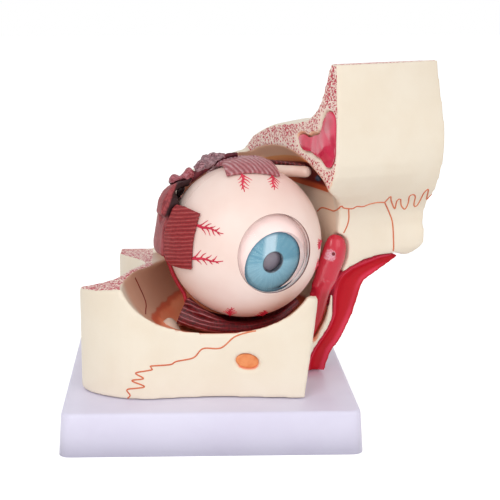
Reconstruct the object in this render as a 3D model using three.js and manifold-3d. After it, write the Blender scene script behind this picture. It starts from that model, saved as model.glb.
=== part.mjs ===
// An enlarged human eye in its socket, on a plinth, for a classroom.
// Millimetres. The origin is the centre of the plinth's underside: X runs towards the nose,
// Y into the socket and Z up. The head is turned on the plinth, so many places are given in
// the head's own directions from the eye's centre: towards the nose, forwards and up.

import * as THREE from "three";
import { mergeVertices } from "three/addons/utils/BufferGeometryUtils.js";
import Module from "manifold-3d";

const wasm = await Module();
wasm.setup();

// Clearance between pieces that touch, the same between curved pieces whose flat facets come
// nearer than their radii, and the overlap that makes a join or a cut clean
const GAP = 0.3;
const CURVED_GAP = 0.6;
const OVERLAP = 1;
// Past every piece
const FAR = 400;

// Plinth and its fasteners
const PLINTH_WIDTH = 139.6;
const PLINTH_DEPTH = 130;
const PLINTH_HEIGHT = 20.6;
const PLINTH_DRAFT = 1.2;
const PLINTH_CORNER = 5;
const PLINTH_EDGE = 1.8;
const PLINTH_WALL = 2.8;
const COVER_THICKNESS = 2.6;
const BOSS_RADIUS = 4.2;
const SCREW_RADIUS = 1.4;
const SCREW_HEAD_RADIUS = 3;
const SCREW_HEAD_HEIGHT = 1.2;
const BONE_SCREW_REACH = 12;

// Eyeball
const EYE_RADIUS = 37.5;
const SCLERA_WALL = 3.4;
const CHOROID_WALL = 2.2;
const CORNEA_OPENING = 18.8;
const CORNEA_WALL = 1.6;
const CORNEA_BULGE = 2.6;
const IRIS_RADIUS = 15;
const IRIS_THICKNESS = 1.6;
const IRIS_DEPTH = 10;
const PUPIL_RADIUS = 5;
const LENS_RADIUS = 12.5;
const LENS_FRONT_BULGE = 3.2;
const LENS_BACK_BULGE = 5.2;
const LENS_EDGE_HALF = 0.4;
const NERVE_RADIUS = 4.4;
const NERVE_STUB_LENGTH = 8;

// Directions: the head's turn on the plinth, the inner eye's droop, and the way out of the
// socket, which leans up and away from the nose
const HEAD_TURN = THREE.MathUtils.degToRad(22.5);
const INNER_DROOP = THREE.MathUtils.degToRad(11);
const INNER_TURN = THREE.MathUtils.degToRad(4);
const EXIT_LEAN = THREE.MathUtils.degToRad(22);

// Places on the plinth
const EYE_CENTRE = new THREE.Vector3(17.6, -14.2, 91);
const APEX = new THREE.Vector3(15, 57, 96);
const BEYOND_APEX = 120;
const BONE_BACK = 61.5;
const SAWN_SIDE_HEIGHT = 75;
const CASTING_SEAM = -10;

// Head planes: the sawn side of the forehead, the middle of the face, and the level of the
// seam between forehead and nose
const SAWN_PLANE = 31;
const MIDLINE = 93;
const BROW_SEAM = 16;

// Sawn back wall round the optic canal
const BACK_WALL = 17.5;
const RING_RADIUS = 13;
const RING_THICKNESS = 4;

const HEAD = new THREE.Matrix4()
  .makeTranslation(EYE_CENTRE)
  .multiply(new THREE.Matrix4().makeRotationZ(HEAD_TURN));
const HEAD_INVERSE = HEAD.clone().invert();

// A point of the head: towards the nose, forwards and up from the eye's centre
function at(nose, front, up) {
  return new THREE.Vector3(nose, -front, up);
}

// Solids

function solid(geometry) {
  const bare = geometry.clone();
  bare.deleteAttribute("normal");
  bare.deleteAttribute("uv");
  const merged = mergeVertices(bare, 1e-4);
  return new wasm.Manifold(new wasm.Mesh({
    numProp: 3,
    vertProperties: new Float32Array(merged.attributes.position.array),
    triVerts: new Uint32Array(merged.index.array),
  }));
}

function geometryOf(manifold) {
  const { numProp, vertProperties, triVerts } = manifold.getMesh();
  const positions = [];
  for (let i = 0; i < vertProperties.length; i += numProp) {
    positions.push(vertProperties[i], vertProperties[i + 1], vertProperties[i + 2]);
  }
  const geometry = new THREE.BufferGeometry();
  geometry.setAttribute("position", new THREE.Float32BufferAttribute(positions, 3));
  geometry.setIndex(Array.from(triVerts));
  geometry.computeVertexNormals();
  return geometry;
}

function joined(first, ...others) {
  return others.reduce((sum, other) => sum.add(solid(other)), solid(first));
}

function cut(manifold, ...tools) {
  return tools.reduce((rest, tool) => rest.subtract(solid(tool)), manifold);
}

function within(manifold, tool) {
  return manifold.intersect(solid(tool));
}

function inHead(geometry) {
  return geometry.clone().applyMatrix4(HEAD);
}

function fromPlinth(geometry) {
  return geometry.clone().applyMatrix4(HEAD_INVERSE);
}

// Triangles that close a ring of points, each turned like the ring
function capTriangles(ring) {
  const normal = new THREE.Vector3();
  ring.forEach((point, i) => {
    const next = ring[(i + 1) % ring.length];
    normal.add(new THREE.Vector3().crossVectors(point, next));
  });
  normal.normalize();
  const side = new THREE.Vector3(Math.abs(normal.x) < 0.8 ? 1 : 0, Math.abs(normal.x) < 0.8 ? 0 : 1, 0);
  const across = new THREE.Vector3().crossVectors(normal, side).normalize();
  const along = new THREE.Vector3().crossVectors(across, normal);
  const flat = ring.map((point) => new THREE.Vector2(point.dot(along), -point.dot(across)));
  return THREE.ShapeUtils.triangulateShape(flat, []).map(([a, b, c]) => {
    const ab = flat[b].clone().sub(flat[a]);
    const ac = flat[c].clone().sub(flat[a]);
    return ab.cross(ac) * ringTurn(flat) > 0 ? [a, b, c] : [a, c, b];
  });
}

function ringTurn(flat) {
  return THREE.ShapeUtils.isClockWise(flat) ? -1 : 1;
}

// A closed solid through rings with equal numbers of points
function loft(rings) {
  const count = rings[0].length;
  const positions = rings.flat().flatMap((point) => point.toArray());
  const faces = [];
  for (let r = 0; r + 1 < rings.length; r++) {
    for (let i = 0; i < count; i++) {
      const j = (i + 1) % count;
      const low = r * count;
      const high = low + count;
      faces.push([low + i, low + j, high + j], [low + i, high + j, high + i]);
    }
  }
  const last = (rings.length - 1) * count;
  capTriangles(rings[0]).forEach(([a, b, c]) => faces.push([a, c, b]));
  capTriangles(rings[rings.length - 1]).forEach(([a, b, c]) => faces.push([last + a, last + b, last + c]));
  return closedSurface(positions, faces);
}

// Faces of a closed surface, all turned outwards
function closedSurface(positions, faces) {
  const point = (i) => new THREE.Vector3().fromArray(positions, 3 * i);
  const volume = faces.reduce((sum, [a, b, c]) => sum + point(a).dot(point(b).cross(point(c))), 0);
  const geometry = new THREE.BufferGeometry();
  geometry.setAttribute("position", new THREE.Float32BufferAttribute(positions, 3));
  geometry.setIndex(faces.flatMap(([a, b, c]) => (volume > 0 ? [a, b, c] : [a, c, b])));
  geometry.computeVertexNormals();
  return geometry;
}

// A closed solid through loops that follow one another round a ring
function ringOf(loops) {
  const count = loops[0].length;
  const positions = loops.flat().flatMap((point) => point.toArray());
  const faces = [];
  loops.forEach((_, r) => {
    for (let i = 0; i < count; i++) {
      const j = (i + 1) % count;
      const here = r * count;
      const next = ((r + 1) % loops.length) * count;
      faces.push([here + i, here + j, next + j], [here + i, next + j, next + i]);
    }
  });
  return closedSurface(positions, faces);
}

// A prism: an outline of two coordinates, carried from low to high along the third
function prism(outline, low, high, axis) {
  const shape = new THREE.Shape(outline.map(([x, y]) => new THREE.Vector2(x, y)));
  const geometry = new THREE.ExtrudeGeometry(shape, { depth: high - low, bevelEnabled: false });
  geometry.translate(0, 0, low);
  const turn = new THREE.Matrix4();
  if (axis === "x") {
    turn.makeBasis(new THREE.Vector3(0, 1, 0), new THREE.Vector3(0, 0, 1), new THREE.Vector3(1, 0, 0));
  } else if (axis === "y") {
    geometry.translate(0, 0, -low - high);
    turn.makeBasis(new THREE.Vector3(1, 0, 0), new THREE.Vector3(0, 0, 1), new THREE.Vector3(0, -1, 0));
  }
  return geometry.applyMatrix4(turn);
}

function cylinder(radius, low, high, x, y, sides = 16) {
  const geometry = new THREE.CylinderGeometry(radius, radius, high - low, sides);
  return geometry.rotateX(Math.PI / 2).translate(x, y, (low + high) / 2);
}

// A turned piece round the head's front-to-back axis, from points of radius and front
function turned(profile, segments) {
  const points = profile.map(([radius, front]) => new THREE.Vector2(radius, -front));
  return new THREE.LatheGeometry(points, segments);
}

// Points of a circle's arc in radius and front, from one angle off the front to another
function arc(radius, fromAngle, toAngle, steps, centre = 0) {
  return Array.from({ length: steps + 1 }, (_, i) => {
    const angle = fromAngle + ((toAngle - fromAngle) * i) / steps;
    return [Math.max(radius * Math.sin(angle), 0), centre + radius * Math.cos(angle)];
  });
}

// The value at a share of the way through a list
function along(values, share) {
  const place = Math.min(Math.max(share, 0), 1) * (values.length - 1);
  const i = Math.min(Math.floor(place), values.length - 2);
  return values[i] + (values[i + 1] - values[i]) * (place - i);
}

function roundedRing(width, depth, corner, height, steps = 5) {
  const ring = [];
  for (let quarter = 0; quarter < 4; quarter++) {
    const right = quarter === 0 || quarter === 3 ? 1 : -1;
    const back = quarter < 2 ? 1 : -1;
    for (let i = 0; i <= steps; i++) {
      const angle = (Math.PI / 2) * (quarter + i / steps);
      const x = right * (width / 2 - corner) + corner * Math.cos(angle);
      const y = back * (depth / 2 - corner) + corner * Math.sin(angle);
      ring.push(new THREE.Vector3(x, y, height));
    }
  }
  return ring;
}

// Plinth

const COVER_SCREWS = [-1, 1].flatMap((x) => [-1, 1].map((y) => [
  x * (PLINTH_WIDTH / 2 - PLINTH_WALL - BOSS_RADIUS - 2),
  y * (PLINTH_DEPTH / 2 - PLINTH_WALL - BOSS_RADIUS - 2),
]));
const BONE_SCREWS = [[-38, -34], [22, -34], [-34, 42], [36.5, 26]];
const HOLE_RADIUS = SCREW_RADIUS + GAP;
const HEAD_SEAT = SCREW_HEAD_HEIGHT + GAP;
const COVER_SCREW_END = PLINTH_HEIGHT - 7;

function plinthShell() {
  const wide = PLINTH_WIDTH + 2 * PLINTH_DRAFT;
  const deep = PLINTH_DEPTH + 2 * PLINTH_DRAFT;
  const shoulder = PLINTH_HEIGHT - PLINTH_EDGE;
  const edge = [0, 0.3, 0.7, 1].map((share) => {
    const inset = PLINTH_EDGE * (1 - Math.cos((share * Math.PI) / 2));
    const rise = PLINTH_EDGE * Math.sin((share * Math.PI) / 2);
    return roundedRing(PLINTH_WIDTH - 2 * inset, PLINTH_DEPTH - 2 * inset, PLINTH_CORNER, shoulder + rise);
  });
  const outside = loft([roundedRing(wide, deep, PLINTH_CORNER, 0), ...edge]);
  const [roomWidth, roomDepth] = plinthRoom();
  const room = loft([-OVERLAP, PLINTH_HEIGHT - PLINTH_WALL].map((height) =>
    roundedRing(roomWidth, roomDepth, PLINTH_CORNER - 2, height)));
  const bossTop = PLINTH_HEIGHT - PLINTH_WALL + OVERLAP;
  const bosses = COVER_SCREWS.map(([x, y]) =>
    cylinder(BOSS_RADIUS, COVER_THICKNESS + GAP, bossTop, x, y));
  const screwHoles = COVER_SCREWS.map(([x, y]) => cylinder(HOLE_RADIUS, 0, PLINTH_HEIGHT - 6, x, y, 12));
  const boneHoles = BONE_SCREWS.map(([x, y]) =>
    cylinder(HOLE_RADIUS, 0, PLINTH_HEIGHT + OVERLAP, x, y, 12));
  const shell = bosses.reduce((sum, boss) => sum.add(solid(boss)), cut(solid(outside), room));
  return geometryOf(cut(shell, ...screwHoles, ...boneHoles));
}

function plinthRoom() {
  return [PLINTH_WIDTH - 2 * PLINTH_WALL, PLINTH_DEPTH - 2 * PLINTH_WALL];
}

function plinthCover() {
  const [roomWidth, roomDepth] = plinthRoom();
  const plate = loft([0, COVER_THICKNESS].map((height) =>
    roundedRing(roomWidth - 2 * GAP, roomDepth - 2 * GAP, PLINTH_CORNER - 2, height)));
  const holes = COVER_SCREWS.flatMap(([x, y]) => [
    cylinder(HOLE_RADIUS, -OVERLAP, COVER_THICKNESS + OVERLAP, x, y, 12),
    cylinder(SCREW_HEAD_RADIUS + GAP, -OVERLAP, HEAD_SEAT, x, y, 12),
  ]);
  return geometryOf(cut(solid(plate), ...holes));
}

// A screw with its head down, from its head's underside to its tip
function screw([x, y], headLow, tip) {
  const profile = [
    [0, headLow],
    [SCREW_HEAD_RADIUS, headLow],
    [SCREW_HEAD_RADIUS, headLow + SCREW_HEAD_HEIGHT],
    [SCREW_RADIUS, headLow + SCREW_HEAD_HEIGHT],
    [SCREW_RADIUS, tip - SCREW_RADIUS],
    [0, tip],
  ].map(([radius, height]) => new THREE.Vector2(radius, height));
  return new THREE.LatheGeometry(profile, 12).rotateX(Math.PI / 2).translate(x, y, 0);
}

function boneScrewHead() {
  return PLINTH_HEIGHT - PLINTH_WALL - GAP - SCREW_HEAD_HEIGHT;
}

// The socket's hollow. Each station into the socket gives how far it reaches from the eye's
// centre: to the cheek side, to the nose side, up and down.
const SOCKET = [
  [-90, EYE_RADIUS + 30, EYE_RADIUS + 1, EYE_RADIUS + 13, EYE_RADIUS - 3],
  [-52, EYE_RADIUS + 25, EYE_RADIUS - 4, EYE_RADIUS + 12, EYE_RADIUS - 1.2],
  [-43, EYE_RADIUS + 24, EYE_RADIUS - 5, EYE_RADIUS + 11, EYE_RADIUS + 1.2],
  [-31, EYE_RADIUS + 23, EYE_RADIUS + 5, EYE_RADIUS + 9, EYE_RADIUS + 7],
  [-15, EYE_RADIUS + 18, EYE_RADIUS + 10.4, EYE_RADIUS + 6.1, EYE_RADIUS + 10],
  [0, EYE_RADIUS + 10.7, EYE_RADIUS + 6, EYE_RADIUS + 9.8, EYE_RADIUS + 9.5],
  [20, EYE_RADIUS + 3.4, EYE_RADIUS - 3, EYE_RADIUS + 10.5, EYE_RADIUS + 3],
  [42, EYE_RADIUS - 5.4, EYE_RADIUS - 11.5, EYE_RADIUS + 3.1, EYE_RADIUS - 7],
  [57, EYE_RADIUS - 17, EYE_RADIUS - 20, EYE_RADIUS - 6, EYE_RADIUS - 17],
];
const SOCKET_SQUARENESS = 2.5;

function socket(inset = 0, end = APEX.y, sides = 44) {
  const curves = [1, 2, 3, 4].map((column) => new THREE.SplineCurve(
    SOCKET.map((row) => new THREE.Vector2(row[0], row[column]))));
  const rings = [];
  const steps = 18;
  for (let i = 0; i <= steps; i++) {
    const [cheek, nose, up, down] = curves.map((curve) => curve.getPoint(i / steps).y - inset);
    const y = Math.min(curves[0].getPoint(i / steps).x, end);
    const middle = EYE_CENTRE.x + (nose - cheek) / 2;
    const half = (nose + cheek) / 2;
    const ring = [];
    for (let k = 0; k < sides; k++) {
      const angle = (2 * Math.PI * k) / sides;
      const [c, s] = [Math.cos(angle), Math.sin(angle)];
      const power = 2 / SOCKET_SQUARENESS;
      const x = middle + half * Math.sign(c) * Math.abs(c) ** power;
      const z = EYE_CENTRE.z + (s > 0 ? up : down) * Math.sign(s) * Math.abs(s) ** power;
      ring.push(new THREE.Vector3(x, y, z));
    }
    if (rings.length === 0 || y > rings[rings.length - 1][0].y + 0.01) {
      rings.push(ring);
    }
  }
  return loft(rings);
}

// Bone castings

const BONE_FLOOR = PLINTH_HEIGHT + GAP;
const LOW = BONE_FLOOR - EYE_CENTRE.z;

function smoothLoop(points, steps) {
  const curve = new THREE.CatmullRomCurve3(
    points.map(([x, y]) => new THREE.Vector3(x, y, 0)), true, "centripetal");
  return curve.getPoints(steps).slice(0, -1).map((point) => [point.x, point.y]);
}

function smooth(points, steps) {
  const curve = new THREE.CatmullRomCurve3(
    points.map(([x, y]) => new THREE.Vector3(x, y, 0)), false, "centripetal");
  return curve.getPoints(steps).map((point) => [point.x, point.y]);
}

// Outline of cheek, outer wall and back on the plinth, from the cheek's outer corner round
// the front
const CHEEK_FRONT = [
  [-62.9, -25.4], [-61, -31.5], [-56, -37.5], [-49.9, -42], [-40.2, -46.2], [-27.9, -47.3],
  [-9.7, -45.3], [8.7, -44.8], [26.1, -46.2], [42, -47.4], [48.5, -46.4], [51, -43],
];
const CHEEK_NOSE_SIDE = [[51, -18], [51.5, -4], [60, -1], [75, 8], [75, BONE_BACK]];
const OUTER_WALL = [
  [-46.5, BONE_BACK], [-46.5, 44], [-44, 37.5], [-36.6, 25], [-32.3, 12], [-35.5, 1],
  [-39.8, -9], [-44, -19], [-50, -23.4], [-57, -24.6],
];

function boneOutline() {
  return [
    ...smooth(CHEEK_FRONT, 26),
    ...CHEEK_NOSE_SIDE,
    OUTER_WALL[0],
    ...smooth(OUTER_WALL.slice(1), 20),
  ];
}

// How far the inner wall's cheek-side and nose-side faces stand from the eye's centre line,
// by height
const INNER_WALL = [
  [LOW - OVERLAP, 27.4, 39], [-63, 28.4, 41.5], [-57, 30.4, 44], [-50, 35.6, 48.5],
  [-42, 40, 52.5], [-34, 41.4, 55.5], [-27, 42, 57], [-20, 43, 58], [-8, 44, 58], [BROW_SEAM, 43, 57],
];
const WALL_FRONT = 12.8;

function innerWall() {
  return loft(INNER_WALL.map(([up, cheekSide, noseSide]) => [
    at(cheekSide, WALL_FRONT, up), at(noseSide, WALL_FRONT, up),
    at(noseSide, -FAR, up), at(cheekSide, -FAR, up),
  ]));
}

// All that lies on the nose side of the inner wall's cheek-side face
function noseSideOfWall() {
  return loft(INNER_WALL.map(([up, cheekSide]) => [
    at(cheekSide - CURVED_GAP, FAR, up), at(FAR, FAR, up),
    at(FAR, -FAR, up), at(cheekSide - CURVED_GAP, -FAR, up),
  ]));
}

// Forehead and nose: three side outlines, at the sawn side, between, and at the middle of
// the face. Each row gives a height and how far forward the bone stands there.
const FACE = [
  [86.4, 32.2, 29.8, 23.2], [76, 33.3, 31.5, 25.7], [66, 33.9, 33, 28.8], [56, 34.1, 34, 31.5],
  [47, 34, 34.3, 32.6], [39, 33.7, 34, 31.8], [33, 31.8, 32.3, 30.3], [28, 28.5, 29.3, 28.6],
  [22.5, 24, 25, 26], [16.5, 16.2, 19, 20.4], [10.8, 13.6, 15.6, 17.2], [4, 12.8, 13.9, 17],
  [-2, 12.8, 13.4, 18.1], [-8, 12.8, 13.2, 17.6], [-14, 12.8, 12.8, 13.4], [-40, 12.8, 12.8, 12.6],
];
// Inside of the brain case at the sawn side, front to back, in front and up
const BRAIN_SIDE = [
  [26, 86.4], [22.5, 78.7], [18.2, 68.9], [13.2, 63.2], [5, 58.4], [-5, 56], [-18.1, 54],
  [-32.4, 51.7], [-43.8, 48.3], [-55.7, 43.6], [-62.9, 38], [-69.1, 33.2], [-76, 30], [-110, 28],
];
const BRAIN_FLOOR = 62;
const BRAIN_FLOOR_DROP = 9;
const BRAIN_FLOOR_BULGE = 3;
const BULGE_MIDDLE = -15;
const BULGE_REACH = 40;
const FOREHEAD_INNER_DROP = 5;

function faceSection(nose, low) {
  const share = (nose - SAWN_PLANE) / (MIDLINE - SAWN_PLANE);
  const weights = [(1 - share) * (1 - 2 * share), 4 * share * (1 - share), share * (2 * share - 1)];
  const front = FACE.filter(([up]) => up > low).map(([up, ...fronts]) => [
    fronts.reduce((sum, value, i) => sum + value * weights[i], 0), up]);
  front.push([front[front.length - 1][0], low]);
  const brain = BRAIN_SIDE.map(([forward, up]) => {
    const inward = Math.sin((share * Math.PI) / 2);
    const bulge = Math.max(0, 1 - Math.abs(forward - BULGE_MIDDLE) / BULGE_REACH) * BRAIN_FLOOR_BULGE;
    const floor = up + bulge * Math.sin(Math.PI * Math.min(2 * share, 1)) - BRAIN_FLOOR_DROP * share ** 2;
    return up < BRAIN_FLOOR ? [forward, floor] : [forward - FOREHEAD_INNER_DROP * inward, up];
  }).reverse();
  return [...front, [-110, low], ...brain].map(([forward, up]) => at(nose, forward, up));
}

function faceMass(low) {
  const stations = [0, 0.1, 0.22, 0.36, 0.5, 0.64, 0.78, 0.9, 1];
  return loft(stations.map((share) => faceSection(SAWN_PLANE + share * (MIDLINE - SAWN_PLANE), low)));
}

function slabInFrontOf(back) {
  return prism([[-FAR, -FAR], [FAR, -FAR], [FAR, back], [-FAR, back]], -FAR, FAR, "z");
}

function boneScrewHoles() {
  return BONE_SCREWS.map(([x, y]) =>
    cylinder(HOLE_RADIUS, 0, PLINTH_HEIGHT + BONE_SCREW_REACH + GAP, x, y, 12));
}

// Cheek and front of the floor
const RIM_CUT = [
  [-FAR, -5.6], [-66, -4.4], [-52, -2], [-38, 0.6], [37, 0.6], [44, -3.8], [51, -5.8], [FAR, -6],
  [FAR, FAR], [-FAR, FAR],
].map(([x, rise]) => [x, SAWN_SIDE_HEIGHT + rise]);
const CHEEK_NOSE_FACE = [[45.2, 0], [45.2, 22], [51.2, 70], [120, 70], [120, 0]];

function maxilla() {
  const mass = prism(boneOutline(), BONE_FLOOR, SAWN_SIDE_HEIGHT + 5, "z");
  const hole = infraorbitalOval(GAP, -70, plugBack() + GAP);
  const rest = cut(
    within(solid(mass), slabInFrontOf(CASTING_SEAM - GAP / 2)),
    prism(RIM_CUT, -100, 100, "y"),
    prism(CHEEK_NOSE_FACE, -100, -18, "y"),
    socket(),
    inHead(noseSideOfWall()),
    inHead(duct(CURVED_GAP)),
    inHead(tearSac(CURVED_GAP)),
    hole,
    ...boneScrewHoles(),
  );
  return geometryOf(rest);
}

// Outer wall, back of the floor, and back wall round the optic canal
const BACK_WALL_OUTLINE = [
  [-30, 40], [-27, SAWN_SIDE_HEIGHT], [-26.5, 90], [-22.5, 101.5], [-14, 110], [-4, 116.5], [8, 121.5],
  [18, 125], [26, 126.5], [60, 126.5], [60, 40],
];

// What is sawn off above the outer wall, in the depth of the socket and up
const SAWN_SIDE_SLOPE = [
  [-100, SAWN_SIDE_HEIGHT + 1], [-10, SAWN_SIDE_HEIGHT + 0.6], [BONE_BACK + OVERLAP, SAWN_SIDE_HEIGHT - 4.6],
  [BONE_BACK + OVERLAP, FAR], [-100, FAR],
];

function sphenoid() {
  const low = prism(boneOutline(), BONE_FLOOR, SAWN_SIDE_HEIGHT + 5, "z");
  const back = prism(BACK_WALL_OUTLINE, BONE_BACK - BACK_WALL, BONE_BACK, "y");
  const above = prism(SAWN_SIDE_SLOPE, -FAR, FAR, "x");
  const rest = cut(
    cut(solid(low), above).add(solid(back)),
    slabInFrontOf(CASTING_SEAM + GAP / 2),
    socket(),
    inHead(noseSideOfWall()),
    inHead(duct(CURVED_GAP)),
    inHead(tearSac(CURVED_GAP)),
    inHead(sawnOff()),
    nerve(NERVE_RADIUS + GAP, EYE_RADIUS, BEYOND_APEX),
    ...boneScrewHoles(),
  );
  return geometryOf(rest);
}

// The room of the forehead casting, which the back wall keeps clear of
function sawnOff() {
  const side = SAWN_PLANE - GAP;
  return prism([[side, BROW_SEAM], [FAR, BROW_SEAM], [FAR, FAR], [side, FAR]], -FAR, FAR, "y");
}

// Hollow of the nose, behind the bridge, as an outline of nose side and up
const NOSE_HOLLOW = [
  [57, 0], [57, 20], [60, 25], [66, 28.5], [76, 30.5], [MIDLINE + 10, 31], [MIDLINE + 10, 0],
];
const BRIDGE_THICKNESS_PLANE = 8;

function frontal() {
  const mass = within(within(solid(inHead(faceMass(0))), slabInFrontOf(BONE_BACK)), socketFreeRoom());
  const rest = cut(
    mass,
    socket(),
    inHead(prism(NOSE_HOLLOW, -BRIDGE_THICKNESS_PLANE, 150, "y")),
    inHead(sinusPocket()),
  );
  return geometryOf(rest);
}

// Everything above the seam between forehead and nose
function socketFreeRoom() {
  const seam = BROW_SEAM + GAP;
  return inHead(prism([[-FAR, seam], [FAR, seam], [FAR, FAR], [-FAR, FAR]], -FAR, FAR, "y"));
}

// Sinus in the sawn side: outline in front and up
const SINUS = smoothLoop([
  [24.6, 64.4], [29.4, 63.8], [32.1, 59.7], [32.2, 50.7], [32, 43.1], [28.4, 37.7], [24.3, 36.7], [20.6, 38],
  [18, 40], [12.4, 40.6], [7.2, 42.1], [2.1, 42], [-2, 43.5], [-4, 45.9], [-5.9, 48.2],
  [-3, 50.6], [1.7, 51.2], [5.4, 50.5], [10, 52], [15.6, 53.3], [18, 57.6], [21, 62.6],
], 46);
const SINUS_DEPTH = 3.2;
const SINUS_RECESS = 0.9;

function sinusPocket() {
  const outline = SINUS.map(([front, up]) => [-front, up]);
  return prism(outline, SAWN_PLANE - OVERLAP, SAWN_PLANE + SINUS_DEPTH, "x");
}

function sinusLining() {
  const outline = inset(SINUS, GAP).map(([front, up]) => [-front, up]);
  return prism(outline, SAWN_PLANE + SINUS_RECESS, SAWN_PLANE + SINUS_DEPTH - GAP, "x");
}

// An outline with each corner moved inwards, square to the line between its neighbours
function inset(outline, distance) {
  const inward = THREE.ShapeUtils.isClockWise(outline.map(([x, y]) => new THREE.Vector2(x, y))) ? -1 : 1;
  return outline.map(([x, y], i) => {
    const before = outline[(i + outline.length - 1) % outline.length];
    const after = outline[(i + 1) % outline.length];
    const [dx, dy] = [after[0] - before[0], after[1] - before[1]];
    const step = (inward * distance) / Math.hypot(dx, dy);
    return [x - dy * step, y + dx * step];
  });
}

// Bridge of the nose and inner wall
const BRIDGE_OUTLINE = [
  [29, BROW_SEAM], [MIDLINE + 5, BROW_SEAM], [MIDLINE + 5, -5], [MIDLINE, -6.6], [MIDLINE - 2.4, -9.8],
  [MIDLINE - 6, -12.2], [83.4, -12.4], [79, -11], [70.5, -11.2], [60.9, -13.2], [52, -16], [46.4, -20.2],
  [44, -27], [41, -27], [40, -16], [37, -4], [33, 8],
];

function nasal() {
  const bridge = within(solid(inHead(faceMass(-60))), inHead(prism(BRIDGE_OUTLINE, -60, -4, "y")));
  const wall = within(solid(inHead(innerWall())), slabInFrontOf(BONE_BACK));
  const rest = cut(
    bridge.add(wall),
    socket(),
    belowPlinthTop(),
    inHead(troughRoom()),
    inHead(tearSac(CURVED_GAP)),
    inHead(duct(CURVED_GAP)),
    ...boneScrewHoles(),
  );
  return geometryOf(rest);
}

function belowPlinthTop() {
  return prism([[-FAR, -FAR], [FAR, -FAR], [FAR, FAR], [-FAR, FAR]], -FAR, BONE_FLOOR, "z");
}

// Trough along the edge of the nose opening: at each station its cheek-side lip and its
// nose-side lip, as nose side and up
const TROUGH = [
  [77.8, -11.9, 82.6, -13.4], [70.5, -11.9, 75.5, -17.4], [61.5, -14, 67, -21.9], [54.5, -15.9, 62.2, -24.5],
  [48.6, -18.9, 60.2, -28], [45.3, -22.6, 59, -32], [44, -28.5, 57.6, -36], [43.8, -34.8, 56, -40.8],
  [44.2, -40, 54, -45], [41.6, -46.4, 51.6, -49.6], [37.5, -51.6, 48.2, -55.2], [33.4, -57, 43.6, -60],
  [30.6, -61.8, 41.4, -65.5], [29, LOW, 40, LOW],
];
const TROUGH_FRONT = 12;
const TROUGH_DEPTH = 5.5;
const TROUGH_LEAN = 1.6;
const TROUGH_BACK = 1;

// The trough's section at a station: a hollow front between two lips, and a flat back
function troughSection([lipNose, lipUp, farNose, farUp]) {
  const lip = new THREE.Vector2(lipNose, lipUp);
  const far = new THREE.Vector2(farNose, farUp);
  const depth = Math.min(TROUGH_DEPTH, lip.distanceTo(far) * 0.55);
  const front = [0, 0.2, 0.5, 0.8, 1].map((share) => {
    const point = lip.clone().lerp(far, share);
    const hollow = depth * 4 * share * (1 - share);
    return at(point.x, TROUGH_FRONT - TROUGH_LEAN * share - hollow, point.y);
  });
  return [...front, at(far.x, TROUGH_BACK, far.y), at(lip.x, TROUGH_BACK, lip.y)];
}

function trough() {
  const rest = cut(solid(loft(TROUGH.map(troughSection))), duct(CURVED_GAP), tearSac(CURVED_GAP));
  return geometryOf(rest);
}

// Room for the trough, open forwards, towards the nose and below
function troughRoom() {
  const below = TROUGH[TROUGH.length - 1].map((value, i) => 2 * value - TROUGH[TROUGH.length - 2][i]);
  return loft([...TROUGH, below].map(([lipNose, lipUp, farNose, farUp]) => {
    const lip = new THREE.Vector2(lipNose, lipUp);
    const step = new THREE.Vector2(farNose, farUp).sub(lip).normalize();
    const start = lip.clone().addScaledVector(step, -GAP);
    const end = new THREE.Vector2(farNose, farUp).addScaledVector(step, 12);
    const back = TROUGH_BACK - GAP;
    const corners = [[start, FAR], [end, FAR], [end, back], [start, back]];
    return corners.map(([point, front]) => at(point.x, front, point.y));
  }));
}

// Tear sac and the opened duct below it: stations of a middle point and half-widths
const SAC = [
  [46.8, 10.2, 0.8, 2.2, 1.4], [46.4, 10.6, -0.8, 4.5, 3], [46, 10.8, -4.4, 6, 4], [44.8, 11, -9.5, 6.6, 4.6],
  [42.4, 11, -15, 6.5, 4.5], [40.6, 10.8, -21, 6.1, 4.3], [38.3, 10.2, -26.6, 5.6, 3.9],
];
const DUCT = [
  [38, 9.4, -27.6, 5.2, 3.4], [38.4, 8.2, -33.5, 5, 3.2], [37.6, 7.4, -39.5, 4.4, 3],
  [35.6, 7.4, -45.5, 3, 2.6], [33.8, 8, -51, 1.2, 1.4],
];

function capsule(stations, grow, hollow) {
  const sides = 14;
  const last = stations.length - 1;
  return loft(stations.map(([nose, front, up, half, deep], i) => {
    const before = stations[Math.max(i - 1, 0)];
    const after = stations[Math.min(i + 1, last)];
    const tilt = Math.atan2(after[0] - before[0], before[2] - after[2]);
    const reach = i === 0 ? grow : i === last ? -grow : 0;
    const ring = [];
    for (let k = 0; k < sides; k++) {
      const angle = (2 * Math.PI * k) / sides;
      const side = (half + grow) * Math.cos(angle);
      const raised = (deep + grow) * Math.sin(angle);
      const scooped = hollow && grow === 0 && raised > 0;
      const scoop = scooped ? raised * (1.5 * Math.abs(Math.cos(angle)) - 0.6) : raised;
      ring.push(at(nose + side * Math.cos(tilt), front + scoop, up + side * Math.sin(tilt) + reach));
    }
    return ring;
  }));
}

function tearSac(grow = 0) {
  return capsule(SAC, grow, false);
}

function duct(grow = 0) {
  return capsule(DUCT, grow, true);
}

function openDuct() {
  return geometryOf(cut(solid(duct()), tearSac(GAP)));
}

// Orange inset in the hole of the cheek
const OVAL = { x: 17.6, z: 38.7, half: 5.5, high: 3.6 };
const OVAL_RECESS = 1;
const OVAL_DEPTH = 3;

function plugBack() {
  return CHEEK_FRONT[7][1] + OVAL_DEPTH;
}

function infraorbitalOval(grow, from, to) {
  const outline = Array.from({ length: 20 }, (_, i) => {
    const angle = (2 * Math.PI * i) / 20;
    return [
      OVAL.x + (OVAL.half + grow) * Math.cos(angle),
      OVAL.z + (OVAL.high + grow) * Math.sin(angle) - 0.12 * OVAL.half * Math.cos(angle),
    ];
  });
  return prism(outline, from, to, "y");
}

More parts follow.
